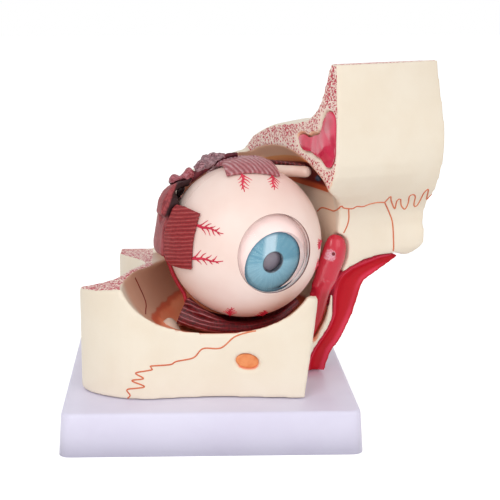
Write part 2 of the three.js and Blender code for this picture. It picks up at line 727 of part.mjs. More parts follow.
function infraorbitalPlug() {
  return infraorbitalOval(0, CHEEK_FRONT[7][1] + OVAL_RECESS, plugBack());
}

// Spur on the floor behind the rim
const SPUR = {
  x: EYE_CENTRE.x - EYE_RADIUS + 0.7, y: -22, top: EYE_CENTRE.z - EYE_RADIUS - 0.1, half: 5, deep: 3.2,
};

function spur() {
  const stations = [[0, 1.15], [0.45, 1], [0.72, 0.85], [0.9, 0.55], [1, 0.15]];
  const low = SPUR.top - 15;
  const rings = stations.map(([share, size]) => Array.from({ length: 14 }, (_, i) => {
    const angle = (2 * Math.PI * i) / 14;
    return new THREE.Vector3(
      SPUR.x + SPUR.half * size * Math.cos(angle),
      SPUR.y + SPUR.deep * size * Math.sin(angle) + 3 * share,
      low + (SPUR.top - low) * share,
    );
  }));
  return geometryOf(within(solid(loft(rings)), socket(GAP)));
}

// Muscles. Each follows points of the head with half-widths and half-thicknesses, and bends
// round the line from the eye's centre to the apex.

const APEX_IN_HEAD = APEX.clone().applyMatrix4(HEAD_INVERSE);
const MUSCLE_END = APEX.y - RING_THICKNESS - 2 * GAP;

function nearestOnAxis(point) {
  const axis = APEX_IN_HEAD.clone().normalize();
  return axis.multiplyScalar(Math.max(point.dot(axis), 0));
}

// A point near the apex, at an angle round the nerve from the nose side upwards
function nearApex(degrees, radius) {
  const angle = THREE.MathUtils.degToRad(degrees);
  const y = MUSCLE_END + OVERLAP;
  return new THREE.Vector3(APEX.x + radius * Math.cos(angle), y, APEX.z + radius * Math.sin(angle))
    .applyMatrix4(HEAD_INVERSE);
}

const BAND_SQUARENESS = 0.4;

function band(path, halfWidths, halfThicknesses, steps = 10, flatness = [1, 1]) {
  const curve = new THREE.CatmullRomCurve3(path, false, "centripetal");
  const sides = 14;
  const rings = [];
  for (let i = 0; i <= steps; i++) {
    const share = i / steps;
    const centre = curve.getPoint(share);
    const tangent = curve.getTangent(share);
    const outward = centre.clone().sub(nearestOnAxis(centre));
    const bend = Math.max(outward.length() * along(flatness, share), along(halfWidths, share) * 0.8);
    outward.addScaledVector(tangent, -outward.dot(tangent)).normalize();
    const across = new THREE.Vector3().crossVectors(tangent, outward);
    const ring = [];
    for (let k = 0; k < sides; k++) {
      const angle = (2 * Math.PI * (k + 0.5)) / sides;
      const [c, s] = [Math.cos(angle), Math.sin(angle)];
      const side = along(halfWidths, share) * Math.sign(c) * Math.abs(c) ** BAND_SQUARENESS;
      const high = along(halfThicknesses, share) * Math.sign(s) * Math.abs(s) ** BAND_SQUARENESS;
      ring.push(centre.clone()
        .addScaledVector(across, (bend + high) * Math.sin(side / bend))
        .addScaledVector(outward, (bend + high) * Math.cos(side / bend) - bend));
    }
    rings.push(ring);
  }
  return loft(rings);
}

// Muscles of the socket stay clear of the bone, the eyeball and the ring at the apex
function clearOfSocketAndEye(geometry, ...tools) {
  const room = fromPlinth(socket(GAP, MUSCLE_END));
  return geometryOf(cut(within(solid(geometry), room), eyeRoom(), ...tools));
}

// The eyeball's room, also as it is drawn out by this distance, forwards and a little up
const WAY_OUT = at(0, 0.946, 0.324);

function eyeRoom(drawnOut = 0) {
  const room = new THREE.SphereGeometry(EYE_RADIUS + CURVED_GAP, SEGMENTS, 24);
  return room.translate(...WAY_OUT.clone().multiplyScalar(drawnOut).toArray());
}

// Where the muscles part between the eyeball's ends and the socket's
const LATERAL_SEAM = 0;
const SUPERIOR_SEAM = -6.2;
const LATERAL_RISE = 8.4;
const RECTUS_HALF = 13.6;

function grown(halves, grow) {
  return halves.map((half) => half + grow);
}

function lateralRectusBand(grow = 0) {
  const r = EYE_RADIUS;
  const path = [
    at(-(r + 3.2), LATERAL_SEAM + OVERLAP, LATERAL_RISE),
    at(-(r + 1.4), -9, LATERAL_RISE + 1.6),
    at(-(r - 2.2), -(r - 17.5), LATERAL_RISE + 2.1),
    at(-(r - 9), -(r - 4.5), LATERAL_RISE + 0.6),
    at(-(r - 19.5), -(r + 9.5), LATERAL_RISE - 1.4),
    nearApex(180, 9.5),
  ];
  const halfWidths = grown([RECTUS_HALF, RECTUS_HALF + 1.9, RECTUS_HALF + 2.4, 13, 9, 3.4], grow);
  return band(path, halfWidths, grown([2.2, 2.3, 2.6, 2.8, 2.6, 2.2], grow), 10, [1, 1.6, 2, 1.6, 1, 1]);
}

// The muscle's top edge, curled over the eye with a hollow beneath: degrees round the eye from
// the nose side, inner and outer height over the eye, and how far forward its edge stands
const HOOD = [
  [160, 4.4, 8.6, -0.4], [152, 5.4, 10, -0.6], [146, 6, 9.8, -2], [141, 5.2, 8.6, -5], [136, 3.8, 6.6, -8.4],
  [131.5, 2.2, 4.4, -11.6],
];
const HOOD_DEPTH = 13;

function hood(grow = 0) {
  return loft(HOOD.map(([degrees, inner, outer, front], i) => {
    const end = i === 0 ? 1 : i === HOOD.length - 1 ? -1 : 0;
    const angle = THREE.MathUtils.degToRad(degrees) + (end * grow) / EYE_RADIUS;
    const [low, high] = [inner - grow, outer + grow];
    const back = front - HOOD_DEPTH - grow;
    const corner = (high - low) / 3;
    return [
      [low, front + grow - corner], [low + corner, front + grow], [high - corner, front + grow],
      [high, front + grow - corner], [high, back + corner], [high - corner, back], [low + corner, back],
      [low, back + corner],
    ].map(([height, forward]) => {
      const across = Math.sqrt((EYE_RADIUS + height) ** 2 - forward ** 2);
      return at(across * Math.cos(angle), forward, across * Math.sin(angle));
    });
  }));
}

function lateralRectus() {
  const muscle = solid(lateralRectusBand()).add(solid(hood()));
  return clearOfSocketAndEye(geometryOf(muscle), inFrontOf(LATERAL_SEAM - GAP));
}

function superiorRectusBand(grow = 0) {
  const r = EYE_RADIUS;
  const path = [
    at(0.4, SUPERIOR_SEAM + OVERLAP, r + 2.3),
    at(1.5, -(r - 20.5), r - 0.7),
    at(5, -(r - 7.5), r - 5.4),
    at(11.5, -(r + 5.5), r - 15),
    nearApex(80, 10),
  ];
  return band(path, grown([12.2, 12.2, 11.5, 8, 3.4], grow), grown([1.5, 2, 2.3, 2.3, 2], grow));
}

function superiorRectus() {
  const ways = [0.1, 0.2, 0.3].map((share) => eyeRoom(share * EYE_RADIUS));
  return clearOfSocketAndEye(superiorRectusBand(), inFrontOf(SUPERIOR_SEAM - GAP), ...ways);
}

function medialRectus() {
  const r = EYE_RADIUS;
  return clearOfSocketAndEye(band([
    at(r + 1.4, -8, 5), at(r, -(r - 20.5), 6), at(r - 2, -(r - 9.5), 7.5), at(r - 4.5, -(r + 5.5), 7.5),
    nearApex(0, 9.5),
  ], [12, 12.5, 11.5, 8.5, 3.4], [1.8, 2.1, 2.3, 2.4, 2]));
}

function inferiorRectus() {
  const r = EYE_RADIUS;
  return clearOfSocketAndEye(band([
    at(3, -12.4, -(r + 1.6)), at(5.5, -(r - 15.5), -(r - 2.5)), at(11, -(r - 1.5), -(r - 12)),
    at(16.5, -(r + 10.5), -(r - 24.5)), nearApex(270, 9.5),
  ], [12, 12, 10.5, 7.5, 3.4], [2.2, 2.4, 2.4, 2.2, 2]));
}

// Sling under the eyeball, from the cheek side to the nose side: degrees round the eye from
// the nose side, height over the eye, and how far forward
const SLING = [
  [230, 7.4, -10], [242, 5.8, -4], [255, 4.4, 0.6], [271, 3.6, 2.2], [291, 3.4, 2.2], [311, 3.4, 2.2],
];

function inferiorOblique() {
  const sweep = SLING.map(([degrees, height, front]) => {
    const angle = THREE.MathUtils.degToRad(degrees);
    const radius = EYE_RADIUS + height;
    return at(radius * Math.cos(angle), front, radius * Math.sin(angle));
  });
  return clearOfSocketAndEye(band(sweep, [9.5, 10.5, 11.4, 12, 11, 7.5], [6, 4.6, 3.4, 2.8, 2.4, 2.2], 12));
}

function superiorOblique() {
  const r = EYE_RADIUS;
  return clearOfSocketAndEye(band([
    at(r + 0.5, -6.5, r - 4.8), at(r - 6.5, -12.5, r - 4), at(r - 12.2, -19, r - 4.2),
    at(r - 11, -30, r - 6.4), at(r - 10.5, -42, r - 12), nearApex(42, 10.5),
  ], [2.2, 2.8, 3, 3.2, 3, 2.2], [1.4, 1.8, 2, 1.9, 1.8, 1.6]), tendonRod(CURVED_GAP));
}

const TENDON_RADIUS = 2.9;
const TENDON_BACK = at(EYE_RADIUS - 16.5, -17, EYE_RADIUS - 6.5);
const TENDON_FRONT = at(EYE_RADIUS - 0.9, 0, EYE_RADIUS - 6.1);

function tendonRod(grow = 0) {
  const radius = TENDON_RADIUS + grow;
  const length = TENDON_FRONT.distanceTo(TENDON_BACK);
  const profile = [[0, -grow], [radius, -grow], [radius, length - TENDON_RADIUS]];
  for (let i = 1; i <= 3; i++) {
    const angle = (i * Math.PI) / 6;
    const across = i === 3 ? 0 : radius * Math.cos(angle);
    profile.push([across, length - TENDON_RADIUS + radius * Math.sin(angle)]);
  }
  const rod = new THREE.LatheGeometry(profile.map(([x, y]) => new THREE.Vector2(x, y)), 14);
  const turn = new THREE.Quaternion().setFromUnitVectors(
    new THREE.Vector3(0, 1, 0), TENDON_FRONT.clone().sub(TENDON_BACK).normalize());
  return rod.applyQuaternion(turn).translate(...TENDON_BACK.toArray());
}

function superiorObliqueTendon() {
  return clearOfSocketAndEye(tendonRod());
}

// Pulley of the tendon: a small saddle on the bone at its rounded end
const TROCHLEA_RADIUS = 3.6;
const TROCHLEA = at(EYE_RADIUS + 0.9, 3.8, EYE_RADIUS - 9.2);

function trochlea() {
  const ball = new THREE.SphereGeometry(TROCHLEA_RADIUS, 14, 10).translate(...TROCHLEA.toArray());
  const rest = cut(
    within(solid(ball), fromPlinth(socket(GAP, MUSCLE_END))),
    new THREE.SphereGeometry(TENDON_RADIUS + CURVED_GAP, 14, 10).translate(...TENDON_FRONT.toArray()),
  );
  return geometryOf(rest);
}

// Lumps on the eye: each its way from the eye's centre, its height over the eye, and its radius
const LEVATOR = [
  [-29.6, -17.5, 29, 7.2, 3.5], [-24.2, -15.5, 29.2, 3.8, 3.5], [-22.9, -15.5, 32.4, 4.7, 3.1],
  [-28.6, -18.4, 24.4, 3.8, 4.2],
];
const GLAND = [
  [-19.6, -14.4, 34.4, 4.2, 2.4], [-17.3, -13.7, 36.4, 4.6, 2.9], [-14.5, -12.8, 38.8, 4.9, 3.8],
  [-11.4, -11.6, 39.2, 4.6, 3.8], [-8, -10.6, 41, 3.8, 3],
];

function lump(places, grow = 0) {
  const balls = places.map(([nose, front, up, height, radius]) => {
    const place = at(nose, front, up).setLength(EYE_RADIUS + height);
    return new THREE.SphereGeometry(radius + grow, 12, 8).translate(...place.toArray());
  });
  return joined(...balls);
}

function levator() {
  return geometryOf(cut(lump(LEVATOR), eyeRoom(), lateralRectusBand(CURVED_GAP), hood(CURVED_GAP)));
}

function lacrimalGland() {
  const rest = cut(lump(GLAND), eyeRoom(), superiorRectusBand(CURVED_GAP));
  return geometryOf(rest.subtract(lump(LEVATOR, CURVED_GAP)));
}

// Optic nerve along the line from the eye's centre to the apex, by distance from the centre

function nerve(radius, from, to) {
  const direction = APEX.clone().sub(EYE_CENTRE).normalize();
  const turn = new THREE.Quaternion().setFromUnitVectors(new THREE.Vector3(0, 1, 0), direction);
  const middle = EYE_CENTRE.clone().addScaledVector(direction, (from + to) / 2);
  return new THREE.CylinderGeometry(radius, radius, to - from, 18)
    .applyQuaternion(turn).translate(...middle.toArray());
}

function opticNerve() {
  const rod = nerve(NERVE_RADIUS, EYE_RADIUS + NERVE_STUB_LENGTH + GAP, BEYOND_APEX);
  return geometryOf(within(solid(rod), slabInFrontOf(BONE_BACK)));
}

function nerveStub() {
  const rod = fromPlinth(nerve(NERVE_RADIUS, EYE_RADIUS - 6, EYE_RADIUS + NERVE_STUB_LENGTH));
  return geometryOf(cut(solid(rod), new THREE.SphereGeometry(EYE_RADIUS + GAP, 40, 24)));
}

function tendonRing() {
  const low = APEX.y - GAP - RING_THICKNESS;
  const profile = [
    [NERVE_RADIUS + 1.2, 0], [RING_RADIUS, 0], [RING_RADIUS, RING_THICKNESS - 1.2],
    [RING_RADIUS - 1.2, RING_THICKNESS], [NERVE_RADIUS + 1.2, RING_THICKNESS], [NERVE_RADIUS + 1.2, 0],
  ].map(([radius, height]) => new THREE.Vector2(radius, RING_THICKNESS - height));
  const ring = new THREE.LatheGeometry(profile.reverse(), 24).translate(APEX.x, low, APEX.z);
  return geometryOf(cut(solid(ring), nerve(NERVE_RADIUS + GAP, EYE_RADIUS, BEYOND_APEX)));
}

// Eyeball, in the head's directions

const SEGMENTS = 40;
const INNER_SEGMENTS = 32;
const LENS_SEGMENTS = 24;
const SCLERA_INNER = EYE_RADIUS - SCLERA_WALL;
const CHOROID_OUTER = SCLERA_INNER - CURVED_GAP;
const CHOROID_INNER = CHOROID_OUTER - CHOROID_WALL;
// What slides out sideways on to its own axis needs room all round
const CORE_RADIUS = CHOROID_INNER * Math.cos(EXIT_LEAN) - CURVED_GAP;
const SPLIT = GAP / 2;

function openingAngle(radius) {
  return Math.asin(CORNEA_OPENING / radius);
}

function scleraFront() {
  const outer = arc(EYE_RADIUS, openingAngle(EYE_RADIUS), Math.acos(SPLIT / EYE_RADIUS), 8);
  const inner = arc(SCLERA_INNER, Math.acos(SPLIT / SCLERA_INNER), openingAngle(SCLERA_INNER), 5);
  return turned([...outer, ...inner, outer[0]], SEGMENTS);
}

function scleraRear() {
  const outer = arc(EYE_RADIUS, Math.acos(-SPLIT / EYE_RADIUS), Math.PI, 9);
  const inner = arc(SCLERA_INNER, Math.PI, Math.acos(-SPLIT / SCLERA_INNER), 6);
  return turned([...outer, ...inner, outer[0]], SEGMENTS);
}

// The iris and lens lie on an axis that droops and turns a little from the eye's own
const INNER_AXIS = new THREE.Matrix4()
  .makeRotationZ(INNER_TURN)
  .multiply(new THREE.Matrix4().makeRotationX(INNER_DROOP));

const IRIS_FRONT = EYE_RADIUS - IRIS_DEPTH;
const LENS_MIDDLE = IRIS_FRONT - IRIS_THICKNESS - LENS_FRONT_BULGE - CURVED_GAP;

// Front half of the inner coat: a shell from the tilted opening of the iris to the seam
function choroidFront() {
  const opening = Math.asin((IRIS_RADIUS + 1.2) / CHOROID_OUTER);
  const steps = 7;
  const loops = Array.from({ length: INNER_SEGMENTS }, (_, k) => {
    const round = (2 * Math.PI * k) / INNER_SEGMENTS;
    const wide = Math.sin(opening);
    const edge = at(wide * Math.cos(round), Math.cos(opening), wide * Math.sin(round));
    edge.applyMatrix4(INNER_AXIS);
    const outward = new THREE.Vector3(edge.x, 0, edge.z).normalize();
    const start = Math.acos(-edge.y);
    const side = (radius, i) => {
      const angle = start + ((Math.acos(SPLIT / radius) - start) * i) / steps;
      return outward.clone().multiplyScalar(radius * Math.sin(angle)).setY(-radius * Math.cos(angle));
    };
    const outer = Array.from({ length: steps + 1 }, (_, i) => side(CHOROID_OUTER, i));
    const inner = Array.from({ length: steps + 1 }, (_, i) => side(CHOROID_INNER, steps - i));
    return [...outer, ...inner];
  });
  return ringOf(loops);
}

function choroidRear() {
  const outer = arc(CHOROID_OUTER, Math.acos(-SPLIT / CHOROID_OUTER), Math.PI, 8);
  const inner = arc(CHOROID_INNER, Math.PI, Math.acos(-SPLIT / CHOROID_INNER), 6);
  return turned([...outer, ...inner, outer[0]], INNER_SEGMENTS);
}

function iris() {
  const back = IRIS_FRONT - IRIS_THICKNESS;
  const profile = [
    [PUPIL_RADIUS, back], [IRIS_RADIUS, back], [IRIS_RADIUS, IRIS_FRONT - 0.5], [IRIS_RADIUS - 1, IRIS_FRONT],
    [PUPIL_RADIUS + 0.8, IRIS_FRONT + 0.4], [PUPIL_RADIUS, IRIS_FRONT], [PUPIL_RADIUS, back],
  ];
  return turned(profile.reverse(), INNER_SEGMENTS).applyMatrix4(INNER_AXIS);
}

// A clear dome whose rim sits in the opening of the front shell
function cornea() {
  const rim = Math.sqrt(EYE_RADIUS ** 2 - CORNEA_OPENING ** 2) - 0.8;
  const half = CORNEA_OPENING - CURVED_GAP;
  const rise = EYE_RADIUS + CORNEA_BULGE - rim;
  const radius = (half ** 2 + rise ** 2) / (2 * rise);
  const centre = rim + rise - radius;
  const outer = arc(radius, 0, Math.asin(half / radius), 6, centre);
  const inner = arc(radius - CORNEA_WALL, Math.asin(half / radius) * 0.97, 0, 5, centre);
  return turned([...outer, [half, rim - 1.4], [half - CORNEA_WALL, rim - 1.4], ...inner], INNER_SEGMENTS);
}

function lens() {
  const side = (bulge, turn) => {
    const radius = (LENS_RADIUS ** 2 + bulge ** 2) / (2 * bulge);
    const reach = Math.asin(LENS_RADIUS / radius);
    const middle = LENS_MIDDLE + turn * (bulge + LENS_EDGE_HALF - radius);
    return arc(radius, 0, reach, 4).map(([r, front]) => [r, middle + turn * front]);
  };
  const profile = [...side(LENS_FRONT_BULGE, 1), ...side(LENS_BACK_BULGE, -1).reverse()];
  return turned(profile, LENS_SEGMENTS).applyMatrix4(INNER_AXIS);
}

// Clear core: a drum along the way out with rounded ends, and a dish for the lens
function vitreous() {
  const radius = CHOROID_INNER - CURVED_GAP;
  const shoulder = Math.asin(CORE_RADIUS / radius);
  const profile = [...arc(radius, 0, shoulder, 5), ...arc(radius, Math.PI - shoulder, Math.PI, 5)];
  const drum = turned(profile, LENS_SEGMENTS);
  drum.applyQuaternion(new THREE.Quaternion().setFromUnitVectors(new THREE.Vector3(0, -1, 0), EXIT));
  const back = LENS_MIDDLE - LENS_BACK_BULGE - LENS_EDGE_HALF;
  const bend = (LENS_RADIUS ** 2 + LENS_BACK_BULGE ** 2) / (2 * LENS_BACK_BULGE);
  const bowl = arc(bend + CURVED_GAP, 0, 0.75, 4).map(([r, front]) => [r, back + bend - front]);
  const dish = turned([...bowl, [40, 60], [0, 60]].reverse(), LENS_SEGMENTS).applyMatrix4(INNER_AXIS);
  return geometryOf(cut(solid(drum), dish));
}

// The way out, in the head's directions
const EXIT = at(
  -Math.sin(THREE.MathUtils.degToRad(30)) * Math.sin(EXIT_LEAN),
  Math.cos(EXIT_LEAN),
  Math.cos(THREE.MathUtils.degToRad(30)) * Math.sin(EXIT_LEAN),
);

// Muscle ends that stay on the eyeball

function onEye(frontAngle, roundAngle, height) {
  const [f, r] = [frontAngle, roundAngle].map(THREE.MathUtils.degToRad);
  const radius = EYE_RADIUS + height;
  return at(radius * Math.sin(f) * Math.cos(r), radius * Math.cos(f), radius * Math.sin(f) * Math.sin(r));
}

// A point above the eyeball by its place towards the nose and forwards
function aboveEye(nose, front, height) {
  return at(nose, front, Math.sqrt((EYE_RADIUS + height) ** 2 - nose ** 2 - front ** 2));
}

function lateralRectusStub() {
  const shape = band([
    onEye(65, 170.8, 1.1), onEye(74, 170.8, 1.9), onEye(83, 170.2, 2.7), onEye(91, 168.8, 3.4),
  ], [14, 14.7, 15, 13.8], [0.7, 1.4, 2.1, 2.6], 6);
  return clearOfEye(shape, behind(LATERAL_SEAM));
}

function superiorRectusStub() {
  const shape = band([
    aboveEye(-2, 14.2, 1.1), aboveEye(-0.4, 8, 1.7), aboveEye(0.9, 1, 2.1), aboveEye(2, -7.4, 2.3),
  ], [13.6, 13.4, 12.9, 12.4], [0.7, 1.2, 1.5, 1.7], 6);
  return clearOfEye(shape, behind(SUPERIOR_SEAM));
}

// All that lies behind a plane across the eye's axis, and all in front of one
function behind(front) {
  return prism([[-FAR, -front], [FAR, -front], [FAR, FAR], [-FAR, FAR]], -FAR, FAR, "z");
}

function inFrontOf(front) {
  return prism([[-FAR, -FAR], [FAR, -FAR], [FAR, -front], [-FAR, -front]], -FAR, FAR, "z");
}

function clearOfEye(geometry, ...tools) {
  return geometryOf(cut(solid(geometry), new THREE.SphereGeometry(EYE_RADIUS + GAP, 48, 32), ...tools));
}

// Finishes

function finish(color, roughness, options = {}) {
  return new THREE.MeshStandardMaterial({ color, roughness, metalness: 0, ...options });
}

const PLASTIC = finish(0xe4e0f4, 0.45);
const STEEL = finish(0xb9bcc2, 0.35, { metalness: 0.9 });
const BONE = finish(0xf3ead2, 0.5);
const SPUR_BONE = finish(0xe9dcc2, 0.5);
const SINUS_PINK = finish(0xe0416a, 0.35);
const CRIMSON = finish(0xc02240, 0.3);
const DARK_CRIMSON = finish(0xa8182f, 0.35);
const ORANGE = finish(0xf09a62, 0.5);
const MUSCLE_RED = finish(0xa0383c, 0.45);
const MUSCLE_MAUVE = finish(0x96505a, 0.45);
const MUSCLE_PINK = finish(0xc0828c, 0.45);
const MUSCLE_DARK = finish(0x5a1c26, 0.45);
const TENDON = finish(0xf0dcc6, 0.4);
const GLAND_MAUVE = finish(0xb9a0aa, 0.45);
const NERVE = finish(0xeccf8a, 0.5);
const SCLERA = finish(0xf8e2d7, 0.3);
const CHOROID = finish(0x6b3a3a, 0.5);
const IRIS_BLUE = finish(0x73a5b9, 0.3);
const CLEAR = finish(0xf4fafc, 0.05, { transparent: true, opacity: 0.35 });
const LENS_CLEAR = finish(0xd8dde2, 0.08, { transparent: true, opacity: 0.6 });

function piece(name, geometry, material) {
  const mesh = new THREE.Mesh(geometry, material);
  mesh.name = name;
  return mesh;
}

function group(matrix, ...pieces) {
  const assembly = new THREE.Group();
  assembly.applyMatrix4(matrix);
  assembly.add(...pieces);
  return assembly;
}

const plinth = group(new THREE.Matrix4(),
  piece("base_shell", plinthShell(), PLASTIC),
  piece("base_cover", plinthCover(), PLASTIC),
  ...COVER_SCREWS.map((place, i) =>
    piece(`cover_screw_${i + 1}`, screw(place, HEAD_SEAT - GAP - SCREW_HEAD_HEIGHT, COVER_SCREW_END), STEEL)),
  ...BONE_SCREWS.map((place, i) =>
    piece(`bone_screw_${i + 1}`, screw(place, boneScrewHead(), PLINTH_HEIGHT + BONE_SCREW_REACH), STEEL)),
);

const bones = group(new THREE.Matrix4(),
  piece("maxilla_casting", maxilla(), BONE),
  piece("sphenoid_casting", sphenoid(), BONE),
  piece("frontal_casting", frontal(), BONE),
  piece("nasal_casting", nasal(), BONE),
  piece("infraorbital_plug", infraorbitalPlug(), ORANGE),
  piece("floor_spur", spur(), SPUR_BONE),
  piece("tendon_ring", tendonRing(), TENDON),
  piece("optic_nerve", opticNerve(), NERVE),
);

const softParts = group(HEAD,
  piece("frontal_sinus_lining", sinusLining(), SINUS_PINK),
  piece("nasal_lining", trough(), CRIMSON),
  piece("lacrimal_sac", tearSac(), CRIMSON),
  piece("nasolacrimal_duct", openDuct(), DARK_CRIMSON),
  piece("lateral_rectus", lateralRectus(), MUSCLE_MAUVE),
  piece("superior_rectus", superiorRectus(), MUSCLE_PINK),
  piece("medial_rectus", medialRectus(), MUSCLE_RED),
  piece("inferior_rectus", inferiorRectus(), MUSCLE_DARK),
  piece("inferior_oblique", inferiorOblique(), MUSCLE_DARK),
  piece("superior_oblique", superiorOblique(), MUSCLE_DARK),
  piece("superior_oblique_tendon", superiorObliqueTendon(), TENDON),
  piece("trochlea", trochlea(), TENDON),
  piece("levator_palpebrae", levator(), MUSCLE_RED),
  piece("lacrimal_gland", lacrimalGland(), GLAND_MAUVE),
);

const eyeball = group(HEAD,
  piece("sclera_front", scleraFront(), SCLERA),
  piece("sclera_rear", scleraRear(), SCLERA),
  piece("choroid_front", choroidFront(), CHOROID),
  piece("choroid_rear", choroidRear(), CHOROID),
  piece("iris", iris(), IRIS_BLUE),
  piece("cornea", cornea(), CLEAR),
  piece("lens", lens(), LENS_CLEAR),
  piece("vitreous_body", vitreous(), CLEAR),
  piece("lateral_rectus_stub", lateralRectusStub(), MUSCLE_RED),
  piece("superior_rectus_stub", superiorRectusStub(), MUSCLE_PINK),
  piece("nerve_stub", nerveStub(), NERVE),
);

const model = new THREE.Group();
model.add(plinth, bones, softParts, eyeball);

export default model;
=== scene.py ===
import math

import bpy
from mathutils import Matrix, Vector


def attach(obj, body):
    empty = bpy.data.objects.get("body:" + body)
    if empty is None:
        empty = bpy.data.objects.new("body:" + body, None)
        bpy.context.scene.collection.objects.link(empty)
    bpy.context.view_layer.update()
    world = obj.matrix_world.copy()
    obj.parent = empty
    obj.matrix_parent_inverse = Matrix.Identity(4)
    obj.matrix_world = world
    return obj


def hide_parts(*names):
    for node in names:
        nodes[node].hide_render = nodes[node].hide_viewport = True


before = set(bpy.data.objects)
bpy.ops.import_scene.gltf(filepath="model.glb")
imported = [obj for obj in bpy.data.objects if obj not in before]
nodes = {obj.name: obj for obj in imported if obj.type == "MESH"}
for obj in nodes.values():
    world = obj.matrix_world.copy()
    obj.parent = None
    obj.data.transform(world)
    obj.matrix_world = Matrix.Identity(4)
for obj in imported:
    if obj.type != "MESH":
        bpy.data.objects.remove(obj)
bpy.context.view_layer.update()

# The scene is in metres. Sizes and places in mm are multiplied by MM. Z is up from the plinth's
# underside, X goes right and Y away from the viewer. The head is turned on the plinth, and places on it
# are given towards the nose, forwards and up from the eye's centre.
MM = 0.001
EYE_CENTRE = Vector((17.6, -14.2, 91)) * MM
EYE_RADIUS = 37.5
APEX = Vector((15, 57, 96)) * MM
HEAD_TURN = math.radians(22.5)
NOSE = Vector((math.cos(HEAD_TURN), math.sin(HEAD_TURN), 0))
FRONT = Vector((math.sin(HEAD_TURN), -math.cos(HEAD_TURN), 0))
UP = Vector((0, 0, 1))

# The eyeball
EYE_SEAM = 0.15
SCLERA_WALL = 3.4
CORNEA_OPENING = 18.8
OPENING_FRONT = math.sqrt(EYE_RADIUS ** 2 - CORNEA_OPENING ** 2)

# Where the bones are sawn: towards the nose and up on the head, and by X, Y and Z for the last ones
SAWN_PLANE = 31
MIDLINE = 93
BROW_SEAM = 16
BRIDGE_START = 66
BRIDGE_FOOT = (-16, -9)
BONE_BACK = 61.5
BONE_TOP = 177
SIDE_TOP = (69, 77)
SIDE_TOP_END = -28


def at(nose, front, up):
    """A point by its place in mm towards the nose, forwards and up from the eye's centre."""
    return EYE_CENTRE + (NOSE * nose + FRONT * front + UP * up) * MM


def in_head(point):
    place = (Vector(point) - EYE_CENTRE) / MM
    return place.dot(NOSE), place.dot(FRONT), place.dot(UP)


def share(value, low, high):
    """0 at low, 1 at high, and smooth between."""
    x = min(max((value - low) / (high - low), 0), 1)
    return x * x * (3 - 2 * x)


# Modelling


def select_only(*pieces):
    if bpy.context.object and bpy.context.object.mode != "OBJECT":
        bpy.ops.object.mode_set(mode="OBJECT")
    bpy.ops.object.select_all(action="DESELECT")
    for piece in pieces:
        piece.select_set(True)
    bpy.context.view_layer.objects.active = pieces[0]


def shaped(piece, kind, **settings):
    """Adds a modifier with these settings and applies it."""
    select_only(piece)
    modifier = piece.modifiers.new(kind.title(), kind)
    for key, value in settings.items():
        setattr(modifier, key, value)
    bpy.ops.object.modifier_apply(modifier=modifier.name)


def edited(piece, change, **settings):
    """Runs an operator of edit mode on all of the piece's mesh."""
    select_only(piece)
    bpy.ops.object.mode_set(mode="EDIT")
    bpy.ops.mesh.select_all(action="SELECT")
    change(**settings)
    bpy.ops.object.mode_set(mode="OBJECT")


def merged_copy(name, *sources):
    """One mesh of these CAD nodes' shapes, with their loose triangles merged."""
    copies = []
    for source in sources:
        copy = nodes[source].copy()
        copy.data = nodes[source].data.copy()
        copy.parent = None
        copy.matrix_world = Matrix.Identity(4)
        for key in list(copy.keys()):
            del copy[key]
        bpy.context.scene.collection.objects.link(copy)
        copies.append(copy)
    piece = joined(*copies) if len(copies) > 1 else copies[0]
    piece.name = name
    piece.data.name = name
    piece.data.materials.clear()
    edited(piece, bpy.ops.mesh.remove_doubles, threshold=0.000002)
    return piece


def softened(piece, voxel, rounds, swell=0.0):
    """The piece as an even mesh with its edges rounded off, as in a casting."""
    if swell:
        shaped(piece, "DISPLACE", strength=swell * MM, mid_level=0)
    shaped(piece, "REMESH", mode="VOXEL", voxel_size=voxel * MM)
    shaped(piece, "SMOOTH", factor=0.5, iterations=rounds)
    if swell:
        shaped(piece, "DISPLACE", strength=-swell * MM, mid_level=0)
    select_only(piece)
    bpy.ops.object.shade_smooth()


def turned(name, profile, axis=FRONT, centre=EYE_CENTRE, steps=96):
    """A solid turned round an axis, from a profile of radius and distance along it, in mm."""
    side = axis.cross(UP).normalized()
    bpy.ops.object.select_all(action="DESELECT")
    first = centre + (side * profile[0][0] + axis * profile[0][1]) * MM
    bpy.ops.mesh.primitive_plane_add(size=MM, location=first)
    piece = bpy.context.object
    piece.name = name
    piece.data.name = name
    bpy.ops.object.transform_apply(location=True, rotation=True, scale=True)
    bpy.ops.object.mode_set(mode="EDIT")
    bpy.ops.mesh.select_all(action="SELECT")
    bpy.ops.mesh.merge(type="CENTER")
    for before, after in zip(profile, profile[1:]):
        step = (side * (after[0] - before[0]) + axis * (after[1] - before[1])) * MM
        bpy.ops.mesh.extrude_region_move(TRANSFORM_OT_translate={"value": step})
    bpy.ops.mesh.select_all(action="SELECT")
    bpy.ops.mesh.spin(steps=steps, angle=2 * math.pi, center=centre, axis=axis)
    bpy.ops.mesh.select_all(action="SELECT")
    bpy.ops.mesh.remove_doubles(threshold=0.000005)
    bpy.ops.mesh.normals_make_consistent(inside=False)
    bpy.ops.object.mode_set(mode="OBJECT")
    bpy.ops.object.shade_smooth_by_angle(angle=math.radians(32))
    return piece


def arc(radius, start, end, steps, centre=0.0):
    """Points of a circle in radius and distance along the axis, by angle off the axis in degrees."""
    points = []
    for i in range(steps + 1):
        angle = math.radians(start + (end - start) * i / steps)
        points.append((max(radius * math.sin(angle), 0), centre + radius * math.cos(angle)))
    return points


def angle_of_ring(ring, radius):
    return math.degrees(math.asin(ring / radius))


def moved_by(piece, step):
    edited(piece, bpy.ops.transform.translate, value=step)


def joined(*pieces):
    select_only(*pieces)
    bpy.ops.object.join()
    return pieces[0]


